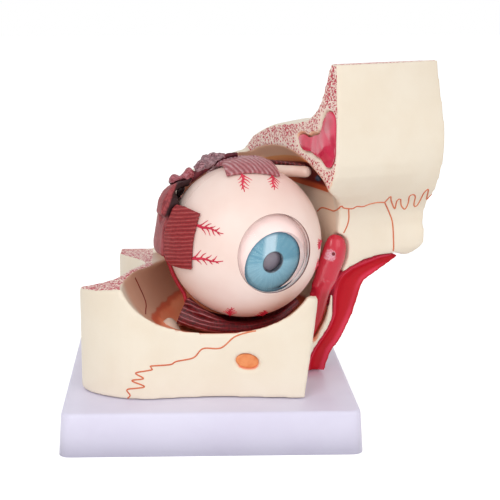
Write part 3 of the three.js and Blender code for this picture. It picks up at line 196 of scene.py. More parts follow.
def lumpy(piece, size, depth, kind="CLOUDS", middle=0.55):
    """Lumps of that size and depth in mm, from a texture of this kind."""
    texture = bpy.data.textures.new(piece.name + "_lumps", kind)
    texture.noise_scale = size * MM
    shaped(piece, "DISPLACE", texture=texture, texture_coords="GLOBAL", strength=depth * MM,
           mid_level=middle)


def mark(piece, name, rule):
    """An attribute with the rule's value for each vertex's place and normal."""
    layer = piece.data.attributes.new(name, "FLOAT", "POINT")
    for vertex in piece.data.vertices:
        layer.data[vertex.index].value = rule(vertex.co, vertex.normal)


def put(piece, material, slot, *replaced, body="socket"):
    """Gives the piece its material and body, and hides the solids it stands for. The slot is not used."""
    piece.data.materials.clear()
    piece.data.materials.append(material)
    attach(piece, body)
    if replaced:
        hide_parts(*replaced)


# Finishes


def srgb(red, green, blue):
    def channel(value):
        value /= 255
        return value / 12.92 if value <= 0.04045 else ((value + 0.055) / 1.055) ** 2.4

    return (channel(red), channel(green), channel(blue), 1)


class Paint:
    """A material and its nodes. place is in mm on the plinth. head is in mm from the eye's centre,
    towards the nose, back and up."""

    def __init__(self, name, roughness=0.45, coat=0.0, coat_roughness=0.1):
        self.material = bpy.data.materials.new(name)
        self.material.use_nodes = True
        self.tree = self.material.node_tree
        self.shader = self.tree.nodes["Principled BSDF"]
        for key, value in (("Roughness", roughness), ("Specular IOR Level", 0.25), ("Coat Weight", coat),
                           ("Coat Roughness", coat_roughness)):
            self.shader.inputs[key].default_value = value
        self.object_place = self.tree.nodes.new("ShaderNodeTexCoord").outputs["Object"]
        self.place = self.moved()
        self.head = self.moved(EYE_CENTRE, (0, 0, HEAD_TURN))

    def moved(self, location=(0, 0, 0), turns=(0, 0, 0)):
        """Places in mm from there, in directions turned by these angles."""
        mapping = self.node("Mapping", Vector=self.object_place, Location=location, Rotation=turns,
                            Scale=(MM, MM, MM))
        mapping.vector_type = "TEXTURE"
        return mapping.outputs["Vector"]

    def node(self, kind, **inputs):
        """A new node with these inputs set or linked."""
        made = self.tree.nodes.new("ShaderNode" + kind)
        for key, value in inputs.items():
            self.plug(made.inputs[key], value)
        return made

    def plug(self, target, value):
        """Links or sets an input. A colour of three numbers is as on a screen, 0 to 255."""
        if isinstance(value, bpy.types.NodeSocket):
            self.tree.links.new(value, target)
        elif target.type == "RGBA" and len(value) == 3:
            target.default_value = srgb(*value)
        else:
            target.default_value = value

    def parts(self, vector):
        return tuple(self.node("SeparateXYZ", Vector=vector).outputs)

    def math(self, operation, *values, kind="Math"):
        node = self.node(kind)
        node.operation = operation
        for target, value in zip(node.inputs, values):
            self.plug(target, value)
        return node.outputs[0]

    def step(self, value, low, high):
        """0 where the value is at low, 1 where it is at high, and smooth between."""
        node = self.node("MapRange", Value=value)
        node.interpolation_type = "SMOOTHSTEP"
        ends = (low, high, 0, 1) if low < high else (high, low, 1, 0)
        for target, number in zip(node.inputs[1:5], ends):
            target.default_value = number
        return node.outputs["Result"]

    def mask(self, given):
        """A mask is a node's output, or the value, low and high of a step."""
        return self.step(*given) if isinstance(given, tuple) else given

    def chained(self, operation, values):
        result = self.mask(values[0])
        for value in values[1:]:
            result = self.math(operation, result, self.mask(value))
        return result

    def all_of(self, *masks):
        return self.chained("MULTIPLY", masks)

    def any_of(self, *masks):
        return self.chained("MAXIMUM", masks)

    def total(self, *values):
        return self.chained("ADD", values)

    def less(self, value, taken):
        return self.math("SUBTRACT", value, taken)

    def partly(self, mask, amount):
        return self.math("MULTIPLY", self.mask(mask), amount)

    def sloped(self, along, slope, start):
        """start, and slope more for each mm along."""
        return self.math("MULTIPLY_ADD", along, slope, start)

    def length(self, *parts):
        """A distance, from its part in each direction."""
        return self.math("SQRT", self.total(*[self.math("POWER", part, 2.0) for part in parts]))

    def noise(self, scale, detail=3.0, vector=None, roughness=0.5):
        return self.node("TexNoise", Vector=vector or self.place, Scale=scale, Detail=detail,
                         Roughness=roughness).outputs["Fac"]

    def cells(self, scale, vector):
        return self.node("TexVoronoi", Vector=vector, Scale=scale).outputs["Distance"]

    def stretched(self, vector, scale):
        """These places with each way drawn out or pressed together."""
        return self.math("MULTIPLY", vector, scale, kind="VectorMath")

    def spread(self, vector, scale, reach):
        """These places moved about by a noise."""
        swirl = self.node("TexNoise", Vector=vector, Scale=scale).outputs["Color"]
        return self.math("MULTIPLY_ADD", swirl, (reach, reach, reach), vector, kind="VectorMath")

    def attribute(self, name):
        node = self.node("Attribute")
        node.attribute_name = name
        return node.outputs["Fac"]

    def mix(self, factor, first, second):
        node = self.node("Mix")
        node.data_type = "RGBA"
        self.plug(node.inputs["Factor"], self.mask(factor))
        self.plug(node.inputs[6], first)
        self.plug(node.inputs[7], second)
        return node.outputs[2]

    def coat(self, colour, height=None, depth=0.2, strength=0.5):
        """Sets the colour, and a relief of that depth in mm from a height."""
        self.plug(self.shader.inputs["Base Color"], colour)
        if height is not None:
            relief = self.node("Bump", Strength=strength, Distance=depth * MM, Height=height)
            self.plug(self.shader.inputs["Normal"], relief.outputs["Normal"])
        return self.material


def mottled(name, colour, second, roughness=0.45, patch=0.08, grain=1.2, depth=0.08, coat=0.0):
    """Cast and painted plastic: two close shades in soft clouds, and a fine grain."""
    paint = Paint(name, roughness, coat)
    clouds = (paint.noise(patch, 4), 0.35, 0.65)
    height = paint.noise(grain, 3)
    return paint.coat(paint.mix(clouds, colour, second), height, depth)


# Ways in which a muscle's stripes follow one another
ACROSS_NOSE = 0
ACROSS_UP = 2
RADIAL = 3
# How far stripes wander, in mm, how wide their edges are, and how much darker their grooves are as painted
# shade
STRIPE_WANDER = 1.6
STRIPE_EDGE = (-0.18, 0.15)
GROOVE_SHADE = 0.45


def striped(name, ground, shade, ridge_highlight, across, period, lean=0, sharp=0.8, faint=0, coat=0.2, fade=None):
    """Muscle with thin raised light lines side by side, a period apart in mm. The lines' light colour is a
    painted highlight on the ridges, and the darker grooves are painted shade. With fade, the lines end
    between these two places towards the nose."""
    paint = Paint(name, 0.45, coat, 0.12)
    places = paint.parts(paint.head)
    nose, back, _ = places
    way = paint.length(*places) if across == RADIAL else places[across]
    way = paint.sloped(back, -lean, way)
    wander = paint.partly(paint.noise(0.12, 2, paint.head), STRIPE_WANDER)
    turns = paint.partly(paint.total(way, wander), 2 * math.pi / period)
    wave = paint.sloped(paint.math("SINE", turns), 0.5, 0.5)
    line = paint.step(wave, sharp + STRIPE_EDGE[0], sharp + STRIPE_EDGE[1])
    groove = paint.step(wave, 0.22, 0.02)
    fleck = paint.noise(0.9, 4)
    colour = paint.mix((fleck, 0.35, 0.7), ground, shade)
    # Painted shade: the grooves between the ridges are darker
    groove_shade_colour = tuple(GROOVE_SHADE * part for part in srgb(*shade)[:3]) + (1,)
    colour = paint.mix(paint.partly(groove, 0.5), colour, groove_shade_colour)
    strength = paint.sloped(paint.step(paint.noise(0.35, 2), 0.4, 0.6), -faint, 1.0)
    if fade:
        strength = paint.all_of(strength, (nose, fade[1], fade[0]))
    # Painted highlight: the ridges' lines get the light colour
    colour = paint.mix(paint.all_of(line, strength), colour, ridge_highlight)
    height = paint.total(paint.less(line, groove), paint.partly(fleck, 0.35))
    return paint.coat(colour, height, 0.45, 0.7)


def clear(name, colour, roughness, bend):
    """Clear plastic. bend is how much it bends light."""
    paint = Paint(name, roughness)
    paint.shader.inputs["Transmission Weight"].default_value = 1
    paint.shader.inputs["IOR"].default_value = bend
    haze = paint.noise(0.2, 2)
    faint = tuple(0.96 * c for c in colour[:3]) + (1,)
    return paint.coat(paint.mix(haze, colour, faint))


# Where the socket's shades change. Each pair is where a shade starts and where it is full
BROWN_DEPTH = (-44, 34)
NOSE_WALL = (26, 32)
NOSE_WALL_TOP = (25, 19)
# Painted light on the underside of the roof: where it starts and is full towards the nose, then up
LIT_VAULT_INSIDE = (18, 24)
LIT_VAULT_RISE = (24, 32)
DUCT_SIDE = (34, 37)
DUCT_FRONT = (-9.5, -11.5)
# The orange floor's upper edge: its height at the middle of the plinth, and its rise with depth
FLOOR_EDGE = 57.0
FLOOR_RISE = 0.075
FLOOR_SIDE = (-31.5, -30.0)
# Rust and maroon bands under the roof: their upper edges' heights over the eye's centre, how these
# change with depth, and where the bands end below, in front and away from the nose
VAULT_TOP = 38.2
VAULT_CURVE = -0.0024
BAND_TOP = 36.4
BAND_FALL = -0.12
BAND_LOW = (21.4, 22.2)
BAND_FRONT = (-9, -5)
BAND_SIDE = (18, 22)


def socket_shades(paint):
    """Brown walls, paler under the roof towards the nose as painted light, an orange floor with a dark line
    along it, and bands under the roof.
    """
    x, y, z = paint.parts(paint.place)
    nose, back, up = paint.parts(paint.head)
    brown = paint.mix((y, *BROWN_DEPTH), (226, 184, 158), (184, 124, 98))
    brown = paint.mix(paint.partly(paint.noise(0.07, 3), 0.3), brown, (180, 118, 90))
    # Painted light: the roof's underside towards the nose is made paler
    painted_vault_light = paint.all_of((up, *LIT_VAULT_RISE), (nose, *LIT_VAULT_INSIDE))
    brown = paint.mix(painted_vault_light, brown, (255, 206, 174))
    nose_wall = paint.all_of((nose, *NOSE_WALL), (up, *NOSE_WALL_TOP))
    brown = paint.mix(paint.partly(nose_wall, 0.85), brown, (250, 232, 208))

    wobble = paint.partly(paint.less(paint.noise(0.16, 3), 0.5), 3.0)
    border = paint.total(paint.sloped(y, FLOOR_RISE, FLOOR_EDGE), wobble)
    below = paint.less(border, z)
    side = paint.step(x, *FLOOR_SIDE)
    floor_part = paint.all_of((below, -0.4, 0.6), side)
    orange = paint.mix(paint.noise(0.1, 3), (255, 172, 130), (246, 124, 86))
    edge = paint.all_of((below, -1.0, 0.2), (below, 3.0, 0.8), side)
    inner = paint.mix(floor_part, brown, orange)
    inner = paint.mix(paint.partly(edge, 0.7), inner, (190, 66, 40))

    vault = paint.sloped(paint.math("POWER", back, 2.0), VAULT_CURVE, VAULT_TOP)
    under_top = paint.less(vault, up)
    under_band = paint.less(paint.sloped(back, BAND_FALL, BAND_TOP), up)
    deep = paint.all_of((back, *BAND_FRONT), (nose, *BAND_SIDE))
    above = paint.step(up, *BAND_LOW)
    rust = paint.mix((under_top, 0, 4), (255, 176, 112), (226, 116, 68))
    inner = paint.mix(paint.all_of(deep, (under_top, -0.5, 0.5), above), inner, rust)
    maroon = paint.mix((up, 26, 23.5), (112, 26, 26), (208, 96, 56))
    return paint.mix(paint.all_of(deep, (under_band, -0.4, 0.4), above), inner, maroon)


def marrow_dots(paint):
    """Red dots of two sizes, streaky in three places and kept away from the sinus."""
    nose, back, up = paint.parts(paint.head)
    places = paint.spread(paint.place, 0.7, 1.0)
    spots = (paint.cells(0.8, places), 0.45, 0.37)
    fine = (paint.cells(1.5, places), 0.36, 0.28)
    crowd = (paint.noise(0.13, 2), 0.3, 0.55)
    dots = paint.any_of(spots, paint.all_of(fine, crowd))
    drawn_out = paint.stretched(paint.spread(paint.head, 0.3, 2.0), (1, 1, 2.6))
    streaks = (paint.noise(0.55, 3, drawn_out), 0.52, 0.58)
    brow_end = paint.all_of((back, 4, 12), (up, 45, 50), (nose, 40, 36))
    brow_tip = paint.all_of((back, -16, -24), (up, 60, 66), (nose, 40, 36))
    outer_wall = paint.all_of((nose, -18, -21), (up, 0, -4))
    streaky = paint.any_of(brow_end, brow_tip, outer_wall)
    calm = paint.less(1.0, paint.step(paint.attribute("calm"), 0.3, 0.6))
    return paint.all_of(paint.any_of(dots, paint.all_of(streaks, streaky)), calm)


def bone_finish():
    """Cream bone, brown inside the socket, and spotted where it is sawn."""
    paint = Paint("bone_paint", 0.45, 0.12, 0.35)
    nose, back, _ = paint.parts(paint.head)
    duct_side = paint.all_of((nose, *DUCT_SIDE), (back, *DUCT_FRONT))
    inside = paint.all_of(paint.attribute("inside"), paint.less(1.0, duct_side))
    sawn = paint.step(paint.attribute("sawn"), 0.4, 0.6)
    dots = marrow_dots(paint)

    clouds = (paint.noise(0.05, 4), 0.3, 0.7)
    cream = paint.mix(clouds, (243, 231, 212), (240, 226, 205))
    ground = paint.mix(paint.noise(0.5, 2), (252, 236, 220), (249, 220, 208))
    dot_colour = paint.mix(paint.noise(0.4, 2), (178, 6, 42), (210, 40, 78))
    colour = paint.mix(inside, cream, socket_shades(paint))
    colour = paint.mix(sawn, colour, paint.mix(dots, ground, dot_colour))
    pits = paint.partly(paint.all_of(dots, sawn), -1.0)
    height = paint.total(pits, paint.partly(paint.noise(0.9, 3), 0.3))
    return paint.coat(colour, height, 0.25, 0.5)


def sclera_finish():
    """Warm white in soft clouds, with a brown line round the edge of the cornea's opening that is a painted
    shadow of the gap there.
    """
    paint = Paint("sclera_paint", 0.4, 0.15, 0.25)
    clouds = (paint.noise(0.045, 3), 0.3, 0.7)
    nose, back, up = paint.parts(paint.head)
    at_opening = (paint.length(nose, up), CORNEA_OPENING + 0.25, CORNEA_OPENING + 0.1)
    lip = paint.all_of(at_opening, (back, -20, -22))
    # Painted shadow: the front of the opening's edge is brown, for the dark gap round the clear dome
    lip_gap_shadow = paint.all_of(lip, (back, -31.2, -31.6))
    colour = paint.mix(clouds, (250, 226, 216), (246, 218, 207))
    colour = paint.mix(lip, colour, (236, 214, 208))
    colour = paint.mix(lip_gap_shadow, colour, (120, 66, 60))
    return paint.coat(colour, paint.noise(0.8, 3), 0.05, 0.4)


# How fast the pattern of rays changes round the pupil, and outwards for each mm
RAY_TURN = 9.0
RAY_REACH = 0.09


def iris_finish(axis_turns):
    """Blue with rays round the pupil: darker at the upper right, with a light patch above that is a painted
    reflection of a lamp, and a paler lower half that is a painted reflection of the table.
    """
    paint = Paint("iris_paint", 0.3, 0.5)
    across, _, up = paint.parts(paint.moved(EYE_CENTRE, axis_turns))
    radius = paint.length(across, up)
    angle = paint.math("ARCTAN2", up, across)
    sine, cosine = [paint.partly(paint.math(kind, angle), RAY_TURN) for kind in ("SINE", "COSINE")]
    polar = paint.node("CombineXYZ", X=sine, Y=cosine, Z=paint.partly(radius, RAY_REACH))
    rays = paint.noise(1.7, 4, polar.outputs[0], 0.65)
    colour = paint.mix((rays, 0.4, 0.62), (92, 144, 166), (116, 164, 182))
    upper_right = paint.all_of((across, -1, 3), (up, 0.5, 1.5))
    colour = paint.mix(paint.partly(upper_right, 0.55), colour, (70, 124, 144))
    # Painted reflection of a lamp in the cornea, above the pupil
    reflected_window = paint.all_of((across, -7, -4), (across, 1.5, -0.5), (up, 1, 3))
    colour = paint.mix(paint.partly(reflected_window, 0.6), colour, (196, 216, 226))
    # Painted reflection of the table in the cornea, over the lower half
    low = (up, 1, -0.5)
    colour = paint.mix(paint.partly(low, 0.35), colour, (150, 188, 204))
    rim = (radius, 13.2, 14.8)
    colour = paint.mix(rim, colour, (74, 118, 140))
    pupil_edge = (radius, 5.9, 5.2)
    colour = paint.mix(pupil_edge, colour, (66, 72, 84))
    return paint.coat(colour, rays, 0.15, 0.4)


# Middle of the sac's pale blotch and of the mouth in it, painted dark as the shade inside a small hole:
# towards the nose and up
SAC_BLOTCH = (39.9, -8.1)
SAC_MOUTH = (41.7, -7.7)


def sac_finish():
    """Wet crimson with a pale blotch, and in it the mouth of the small tear ducts, painted dark as the shade
    inside their hole.
    """
    paint = Paint("tear_sac_paint", 0.28, 0.45, 0.15)
    nose, back, up = paint.parts(paint.head)

    def away_from(middle):
        return paint.length(*[paint.less(way, place) for way, place in zip((nose, up), middle)])

    clouds = paint.noise(0.14, 3)
    opened = paint.all_of((up, -24, -30), (paint.sloped(up, -0.12, nose), 38.4, 40.6))
    ragged = paint.sloped(paint.noise(0.7, 3), 2.4, away_from(SAC_BLOTCH))
    front_side = paint.step(back, -12.0, -13.4)
    pale = paint.all_of((ragged, 4.6, 3.4), front_side)
    # Painted shade: the ducts' mouth is dark, for the shade inside the hole
    mouth = paint.all_of((away_from(SAC_MOUTH), 1.1, 0.7), front_side)
    colour = paint.mix(clouds, (216, 46, 70), (196, 26, 50))
    colour = paint.mix(opened, colour, (176, 8, 26))
    veined = paint.mix((paint.noise(1.2, 2), 0.45, 0.6), (236, 186, 200), (222, 130, 150))
    colour = paint.mix(paint.partly(pale, 0.85), colour, veined)
    colour = paint.mix(mouth, colour, (120, 10, 30))
    height = paint.less(paint.partly(clouds, 0.5), mouth)
    return paint.coat(colour, height, 0.6, 0.5)


# Bones


# How squarely a face inside the socket looks at the socket's axis, and how far from it that goes on
FACING_IN = (0.22, 0.6)
SOCKET_REACH = 66
REACH_EDGE = 4
# Between these distances from the sinus's lining, the red dots end
SINUS_RIM = (2.1, 1.3)
# How near its plane a sawn face lies, and how squarely it faces out of it
SAWN_NEAR = 0.5
SAWN_FACING = (0.86, 0.97)


def drawn_bones():
    castings = ["maxilla_casting", "sphenoid_casting", "frontal_casting", "nasal_casting"]
    piece = merged_copy("orbit_bones", *castings)
    softened(piece, voxel=1.05, rounds=9, swell=0.2)
    mark_bones(piece)
    put(piece, bone_finish(), "bone", *castings)
    return piece


def mark_bones(piece):
    """How much a place faces into the socket, where the bone is sawn, and where it has no dots."""
    way_in = APEX - EYE_CENTRE
    length = way_in.length
    way_in = way_in / length

    def faces_in(point, normal):
        along = min(max((point - EYE_CENTRE).dot(way_in), 0), length)
        to_axis = EYE_CENTRE + way_in * along - point
        facing = normal.dot(to_axis) / max(to_axis.length, 1e-6)
        return share(facing, *FACING_IN) * share(SOCKET_REACH - to_axis.length / MM, 0, REACH_EDGE)

    sinus = nodes["frontal_sinus_lining"]
    into_sinus = sinus.matrix_world.inverted()

    def by_sinus(point, normal):
        if sawn_share(point, normal) < 0.1 or point.z < EYE_CENTRE.z:
            return 0
        _, place, _, _ = sinus.closest_point_on_mesh(into_sinus @ point)
        return share((sinus.matrix_world @ place - point).length / MM, *SINUS_RIM)

    mark(piece, "inside", faces_in)
    mark(piece, "sawn", sawn_share)
    mark(piece, "calm", by_sinus)


def sawn_share(point, normal):
    nose, _, up = in_head(point)
    height = point.z / MM
    planes = [
        (up > BROW_SEAM and abs(nose - SAWN_PLANE) < SAWN_NEAR, -normal.dot(NOSE)),
        (abs(nose - MIDLINE) < SAWN_NEAR, normal.dot(NOSE)),
        (abs(point.y / MM - BONE_BACK) < SAWN_NEAR, normal.y),
        (height > BONE_TOP - SAWN_NEAR, normal.z),
        (SIDE_TOP[0] < height < SIDE_TOP[1] and point.x / MM < SIDE_TOP_END, normal.z),
        (BRIDGE_FOOT[0] < up < BRIDGE_FOOT[1] and nose > BRIDGE_START, -normal.z),
    ]
    return max([share(facing, *SAWN_FACING) for near, facing in planes if near] or [0])


# Thin painted lines and vessels


def smooth_line(points, step=0.7):
    """Points about a step apart, in mm, on a smooth curve through these."""
    points = [Vector(point) for point in points]
    ends = [points[0] * 2 - points[1]] + points + [points[-1] * 2 - points[-2]]
    line = []
    for p0, p1, p2, p3 in zip(ends, ends[1:], ends[2:], ends[3:]):
        count = max(int((p2 - p1).length / step), 1)
        for i in range(count):
            t = i / count
            line.append(0.5 * (2 * p1 + (p2 - p0) * t + (2 * p0 - 5 * p1 + 4 * p2 - p3) * t * t
                        + (3 * p1 - p0 - 3 * p2 + p3) * t ** 3))
    return line + [points[-1]]


def thin_lines(name, lines, sides=1):
    """One mesh of round strokes. Each is a list of (point in metres, radius in mm)."""
    curve = bpy.data.curves.new(name, "CURVE")
    curve.dimensions = "3D"
    curve.bevel_depth = MM
    curve.bevel_resolution = sides
    curve.use_fill_caps = True
    for line in lines:
        spline = curve.splines.new("POLY")
        spline.points.add(len(line) - 1)
        for target, (point, radius) in zip(spline.points, line):
            target.co = (*point, 1)
            target.radius = radius
    drawn = bpy.data.objects.new(name, curve)
    bpy.context.scene.collection.objects.link(drawn)
    select_only(drawn)
    bpy.ops.object.convert(target="MESH")
    bpy.ops.object.shade_smooth()
    return bpy.context.object


def tube(name, rows):
    """A tube through these places on the head, each with its radius there."""
    return thin_lines(name, [[(at(*place), radius) for *place, radius in rows]], 4)


# Sutures: lines between places on the head, how thick they are and how far they sink into the bone
SUTURE_RADIUS = 0.4
SUTURE_SUNK = 0.08
FRONTOMAXILLARY = [
    (45, -8, 9.6), (45, -3.3, 12.2), (45, 4.7, 12.6), (44.9, 9.4, 12.8), (43.3, 16.3, 15.4),
    (44.1, 17.9, 16.8), (45.3, 17.2, 15.6), (50.4, 17.1, 14.8), (52.5, 18, 15.9), (56, 18, 15.6),
    (59.3, 19.2, 16.9), (62.9, 20, 17.5), (67.1, 20, 17.2),
]
NASOFRONTAL = [
    (67.1, 20, 17.2), (68.2, 23.3, 20.5), (70.5, 20.7, 17.7), (74.7, 17.6, 13), (73.8, 21.1, 17.9),
    (75.3, 21.5, 18.4), (77.8, 18.7, 14.5), (80.8, 17.5, 12.3), (81.2, 19.6, 15.8), (79.5, 23.1, 19.9),
    (81.3, 23.9, 20.7), (83.5, 22.2, 18.8), (85.3, 18.7, 14), (87, 18.5, 13.6), (87.6, 20.5, 16.8),
    (86.9, 24.6, 21.2), (88.2, 26.2, 23.2), (90.1, 22.9, 19.3), (91.4, 20.8, 17), (92.3, 22.9, 20.2),
]
NASOMAXILLARY = [
    (67.1, 20, 17.2), (71.6, 16.8, 12), (75.1, 15.3, 5.5), (76.3, 15, -3.4), (76.9, 14.3, -9.6),
]
LACRIMAL = [(48.5, 17, 14.9), (50.1, 14.6, 9.7), (49.8, 13.6, 5.5), (48.4, 13, 1.9)]
ZYGOMATIC = [
    (-8.1, 30, -37.1), (-11.1, 29.3, -37.3), (-17.5, 26, -40), (-23.4, 23.4, -45.4), (-31.2, 20.4, -45.6),
    (-35.6, 18.8, -50), (-43.4, 16.5, -51.5), (-46.2, 15.8, -52.9), (-55.2, 12.9, -53.3), (-54.2, 13.3, -55),
    (-61.4, 10, -56.7), (-58.2, 11.7, -59.4), (-63.1, 9.1, -60.6), (-57.8, 11.8, -63.5), (-65, 7.8, -65.1),
    (-63.9, 8.6, -67.9), (-64.8, 7.6, -69.6),
]
OUTER_WALL = [
    (-50.3, -19.1, -18.1), (-48.2, -19.3, -22.8), (-46.4, -17.6, -28.1), (-46.7, -13.7, -31.2),
    (-50.3, -5.2, -33.1),
]


def sutures(bones):
    def drawn(*tables):
        lines = []
        for table in tables:
            line = []
            for point in smooth_line(table):
                _, place, normal, _ = bones.closest_point_on_mesh(at(*point))
                line.append((place - normal * SUTURE_SUNK * MM, SUTURE_RADIUS))
            lines.append(line)
        return lines

    face = drawn(FRONTOMAXILLARY, NASOFRONTAL, NASOMAXILLARY, LACRIMAL, ZYGOMATIC)
    orange = mottled("suture_orange", (226, 134, 94), (214, 112, 78))
    put(thin_lines("suture_lines", face), orange, "foramen_orange")
    dark_red = mottled("suture_dark_red", (136, 34, 28), (110, 24, 22))
    put(thin_lines("outer_wall_suture", drawn(OUTER_WALL)), dark_red, "muscle_dark")


# Vessels on the white of the eye: start and end in front, towards the nose and up
VESSELS = [
    ((15.2, -31.8, 13), (27, -23.7, 10.7)), ((14.4, -34.5, -2.2), (28.3, -24.5, -2.2)),
    ((11.3, -6.9, 35.1), (21.9, -11.1, 28.3)), ((14.3, 7.3, 33.9), (24, 3.5, 28.6)),
    ((22, 30.3, 1.6), (27.2, 25.6, -0.2)), ((20.3, 30.6, -11), (24.4, 26.6, -10.2)),
    ((11.1, -12.9, -33.4), (20.2, -16.6, -26.9)), ((13, 3.5, -35.2), (23.3, -0.7, -29.4)),
]
VESSEL_RISE = 0.02
TRUNK_STEPS = 12
TRUNK_BEND = 0.35
BRANCHES = 8
BRANCH_STEPS = 5
# How far the first branch reaches, in mm, and how much less each next one does
BRANCH_REACH = 4.4
BRANCH_LOSS = 0.35
# The radius a stroke loses along its way, and the radius it ends with
TRUNK_RADIUS = (0.62, 0.2)
BRANCH_RADIUS = (0.36, 0.12)


def on_eye(way):
    """The point of the eyeball's surface that lies this way from its centre."""
    return EYE_CENTRE + way.normalized() * (EYE_RADIUS + VESSEL_RISE) * MM


def thinning(radius, along):
    return radius[0] * (1 - along) + radius[1]


def vessels():
    strokes = []
    for count, ends in enumerate(VESSELS):
        first, last = [on_eye(NOSE * nose + FRONT * front + UP * up) for front, nose, up in ends]
        along = last - first
        side = along.cross((first + last) / 2 - EYE_CENTRE).normalized()

        def place(forward, sideways):
            return on_eye(first + along * forward + side * sideways * MM - EYE_CENTRE)

        trunk = []
        for i in range(TRUNK_STEPS + 1):
            forward = i / TRUNK_STEPS
            bend = TRUNK_BEND * math.sin(9 * forward + count)
            trunk.append((place(forward, bend), thinning(TRUNK_RADIUS, forward)))
        strokes.append(trunk)
        for number in range(BRANCHES):
            turn = 1 if number % 2 else -1
            root = 0.1 + 0.1 * number
            reach = (BRANCH_REACH - BRANCH_LOSS * number) * (1 + 0.25 * math.sin(3.1 * number + count))
            branch = []
            for i in range(BRANCH_STEPS + 1):
                out = i / BRANCH_STEPS
                forward = root + 0.8 * out * reach * MM / along.length
                sideways = turn * (0.2 + 0.72 * reach * out) + 0.25 * math.sin(5 * out + number)
                branch.append((place(forward, sideways), thinning(BRANCH_RADIUS, out)))
            strokes.append(branch)
    red = mottled("vessel_red", (226, 62, 88), (206, 44, 72), 0.35)
    put(thin_lines("sclera_vessels", strokes, 0), red, "muscle_red", body="front_half")


# Eyeball


# Edge of the cornea's opening: how much wider it is outside, in degrees, and how far back it runs
LIP_SLOPE = 0.5
LIP_DEPTH = 0.25
# How far the eye's own axis leans down and turns from the way the head faces
AXIS_DROOP = math.radians(11)
AXIS_TURN = math.radians(4)
IRIS_RADIUS = 15
PUPIL_RADIUS = 5
IRIS_FRONT = EYE_RADIUS - 10
IRIS_BACK = IRIS_FRONT - 1.6
# The lens: how far its faces bulge in front and behind, the edge between them, and its gap to the iris
LENS_RADIUS = 12.5
LENS_FRONT = 3.2
LENS_BACK = 5.2
LENS_EDGE = 0.4
LENS_GAP = 0.6
# The clear dome: how far its rim lies behind the opening's edge, how far it rises over the eyeball, its
# play in the opening, its wall, how far its edge runs back, and how far it sits aside and down
DOME_SUNK = 0.8
DOME_RISE = 2.6
DOME_PLAY = 0.6
DOME_WALL = 1.6
DOME_EDGE = 0.3
DOME_ASIDE = 0.25


def eyeball():
    opening = angle_of_ring(CORNEA_OPENING, EYE_RADIUS)
    inner = EYE_RADIUS - SCLERA_WALL
    inner_opening = angle_of_ring(CORNEA_OPENING, inner)
    seam = angle_of_ring(EYE_SEAM, EYE_RADIUS)
    inner_seam = angle_of_ring(EYE_SEAM, inner)
    white = sclera_finish()
    outer = arc(EYE_RADIUS, opening + LIP_SLOPE, 90 - seam, 22)
    inside = arc(inner, 90 - inner_seam, inner_opening, 12)
    lip = [(CORNEA_OPENING, outer[0][1] - LIP_DEPTH)]
    front = turned("sclera_front_shell", outer + inside + lip + [outer[0]])
    put(front, white, "sclera", "sclera_front", body="front_half")
    outer = arc(EYE_RADIUS, 90 + seam, 180, 24)
    inside = arc(inner, 180, 90 + inner_seam, 16)
    rear = turned("sclera_rear_shell", outer + inside + [outer[0]])
    put(rear, white, "sclera", "sclera_rear", body="eyeball")


def iris_and_lens():
    axis = Matrix.Rotation(AXIS_TURN, 3, UP) @ Matrix.Rotation(AXIS_DROOP, 3, NOSE) @ FRONT
    axis.normalize()
    profile = [(PUPIL_RADIUS, IRIS_BACK), (IRIS_RADIUS, IRIS_BACK), (IRIS_RADIUS, IRIS_FRONT - 0.5)]
    profile += [(IRIS_RADIUS - 0.8, IRIS_FRONT - 0.1)]
    profile += [(IRIS_RADIUS - 1 - 1.2 * i, IRIS_FRONT + 0.05 * i) for i in range(7)]
    profile += [(PUPIL_RADIUS + 0.4, IRIS_FRONT + 0.3), (PUPIL_RADIUS, IRIS_FRONT), profile[0]]
    disc = turned("iris_disc", profile, axis, steps=128)
    droop = -math.asin(axis.z)
    facing = math.atan2(axis.x, -axis.y)
    put(disc, iris_finish((droop, 0, facing)), "iris_blue", "iris", body="front_half")

    middle = IRIS_BACK - LENS_FRONT - LENS_GAP

    def side(bulge, way):
        radius = (LENS_RADIUS ** 2 + bulge ** 2) / (2 * bulge)
        half = arc(radius, 0, angle_of_ring(LENS_RADIUS, radius), 12)
        return [(r, middle + way * (z - radius + bulge + LENS_EDGE)) for r, z in half]

    body = turned("lens_body", side(LENS_FRONT, 1) + side(LENS_BACK, -1)[::-1], axis)
    glass = Paint("lens_grey", 0.12, 0.6)
    glass.coat(glass.mix(glass.noise(0.3, 2), (128, 118, 128), (112, 104, 116)))
    put(body, glass.material, "clear_lens", "lens", body="lens_unit")


def cornea_dome():
    rim = OPENING_FRONT - DOME_SUNK
    half = CORNEA_OPENING - DOME_PLAY
    rise = EYE_RADIUS + DOME_RISE - rim
    radius = (half ** 2 + rise ** 2) / (2 * rise)
    centre = rim + rise - radius
    reach = angle_of_ring(half, radius)
    outer = arc(radius, 0, reach, 18, centre)
    inner = arc(radius - DOME_WALL, reach * 0.97, 0, 16, centre)
    edge = [(half, rim - DOME_EDGE), (half - DOME_WALL, rim - DOME_EDGE)]
    middle = EYE_CENTRE - (NOSE + UP) * DOME_ASIDE * MM
    dome = turned("cornea_dome_clear", outer + edge + inner, centre=middle)
    glass = clear("cornea_clear", (1, 1, 1, 1), 0.01, 1.06)
    put(dome, glass, "clear_cornea", "cornea", body="cornea_dome")


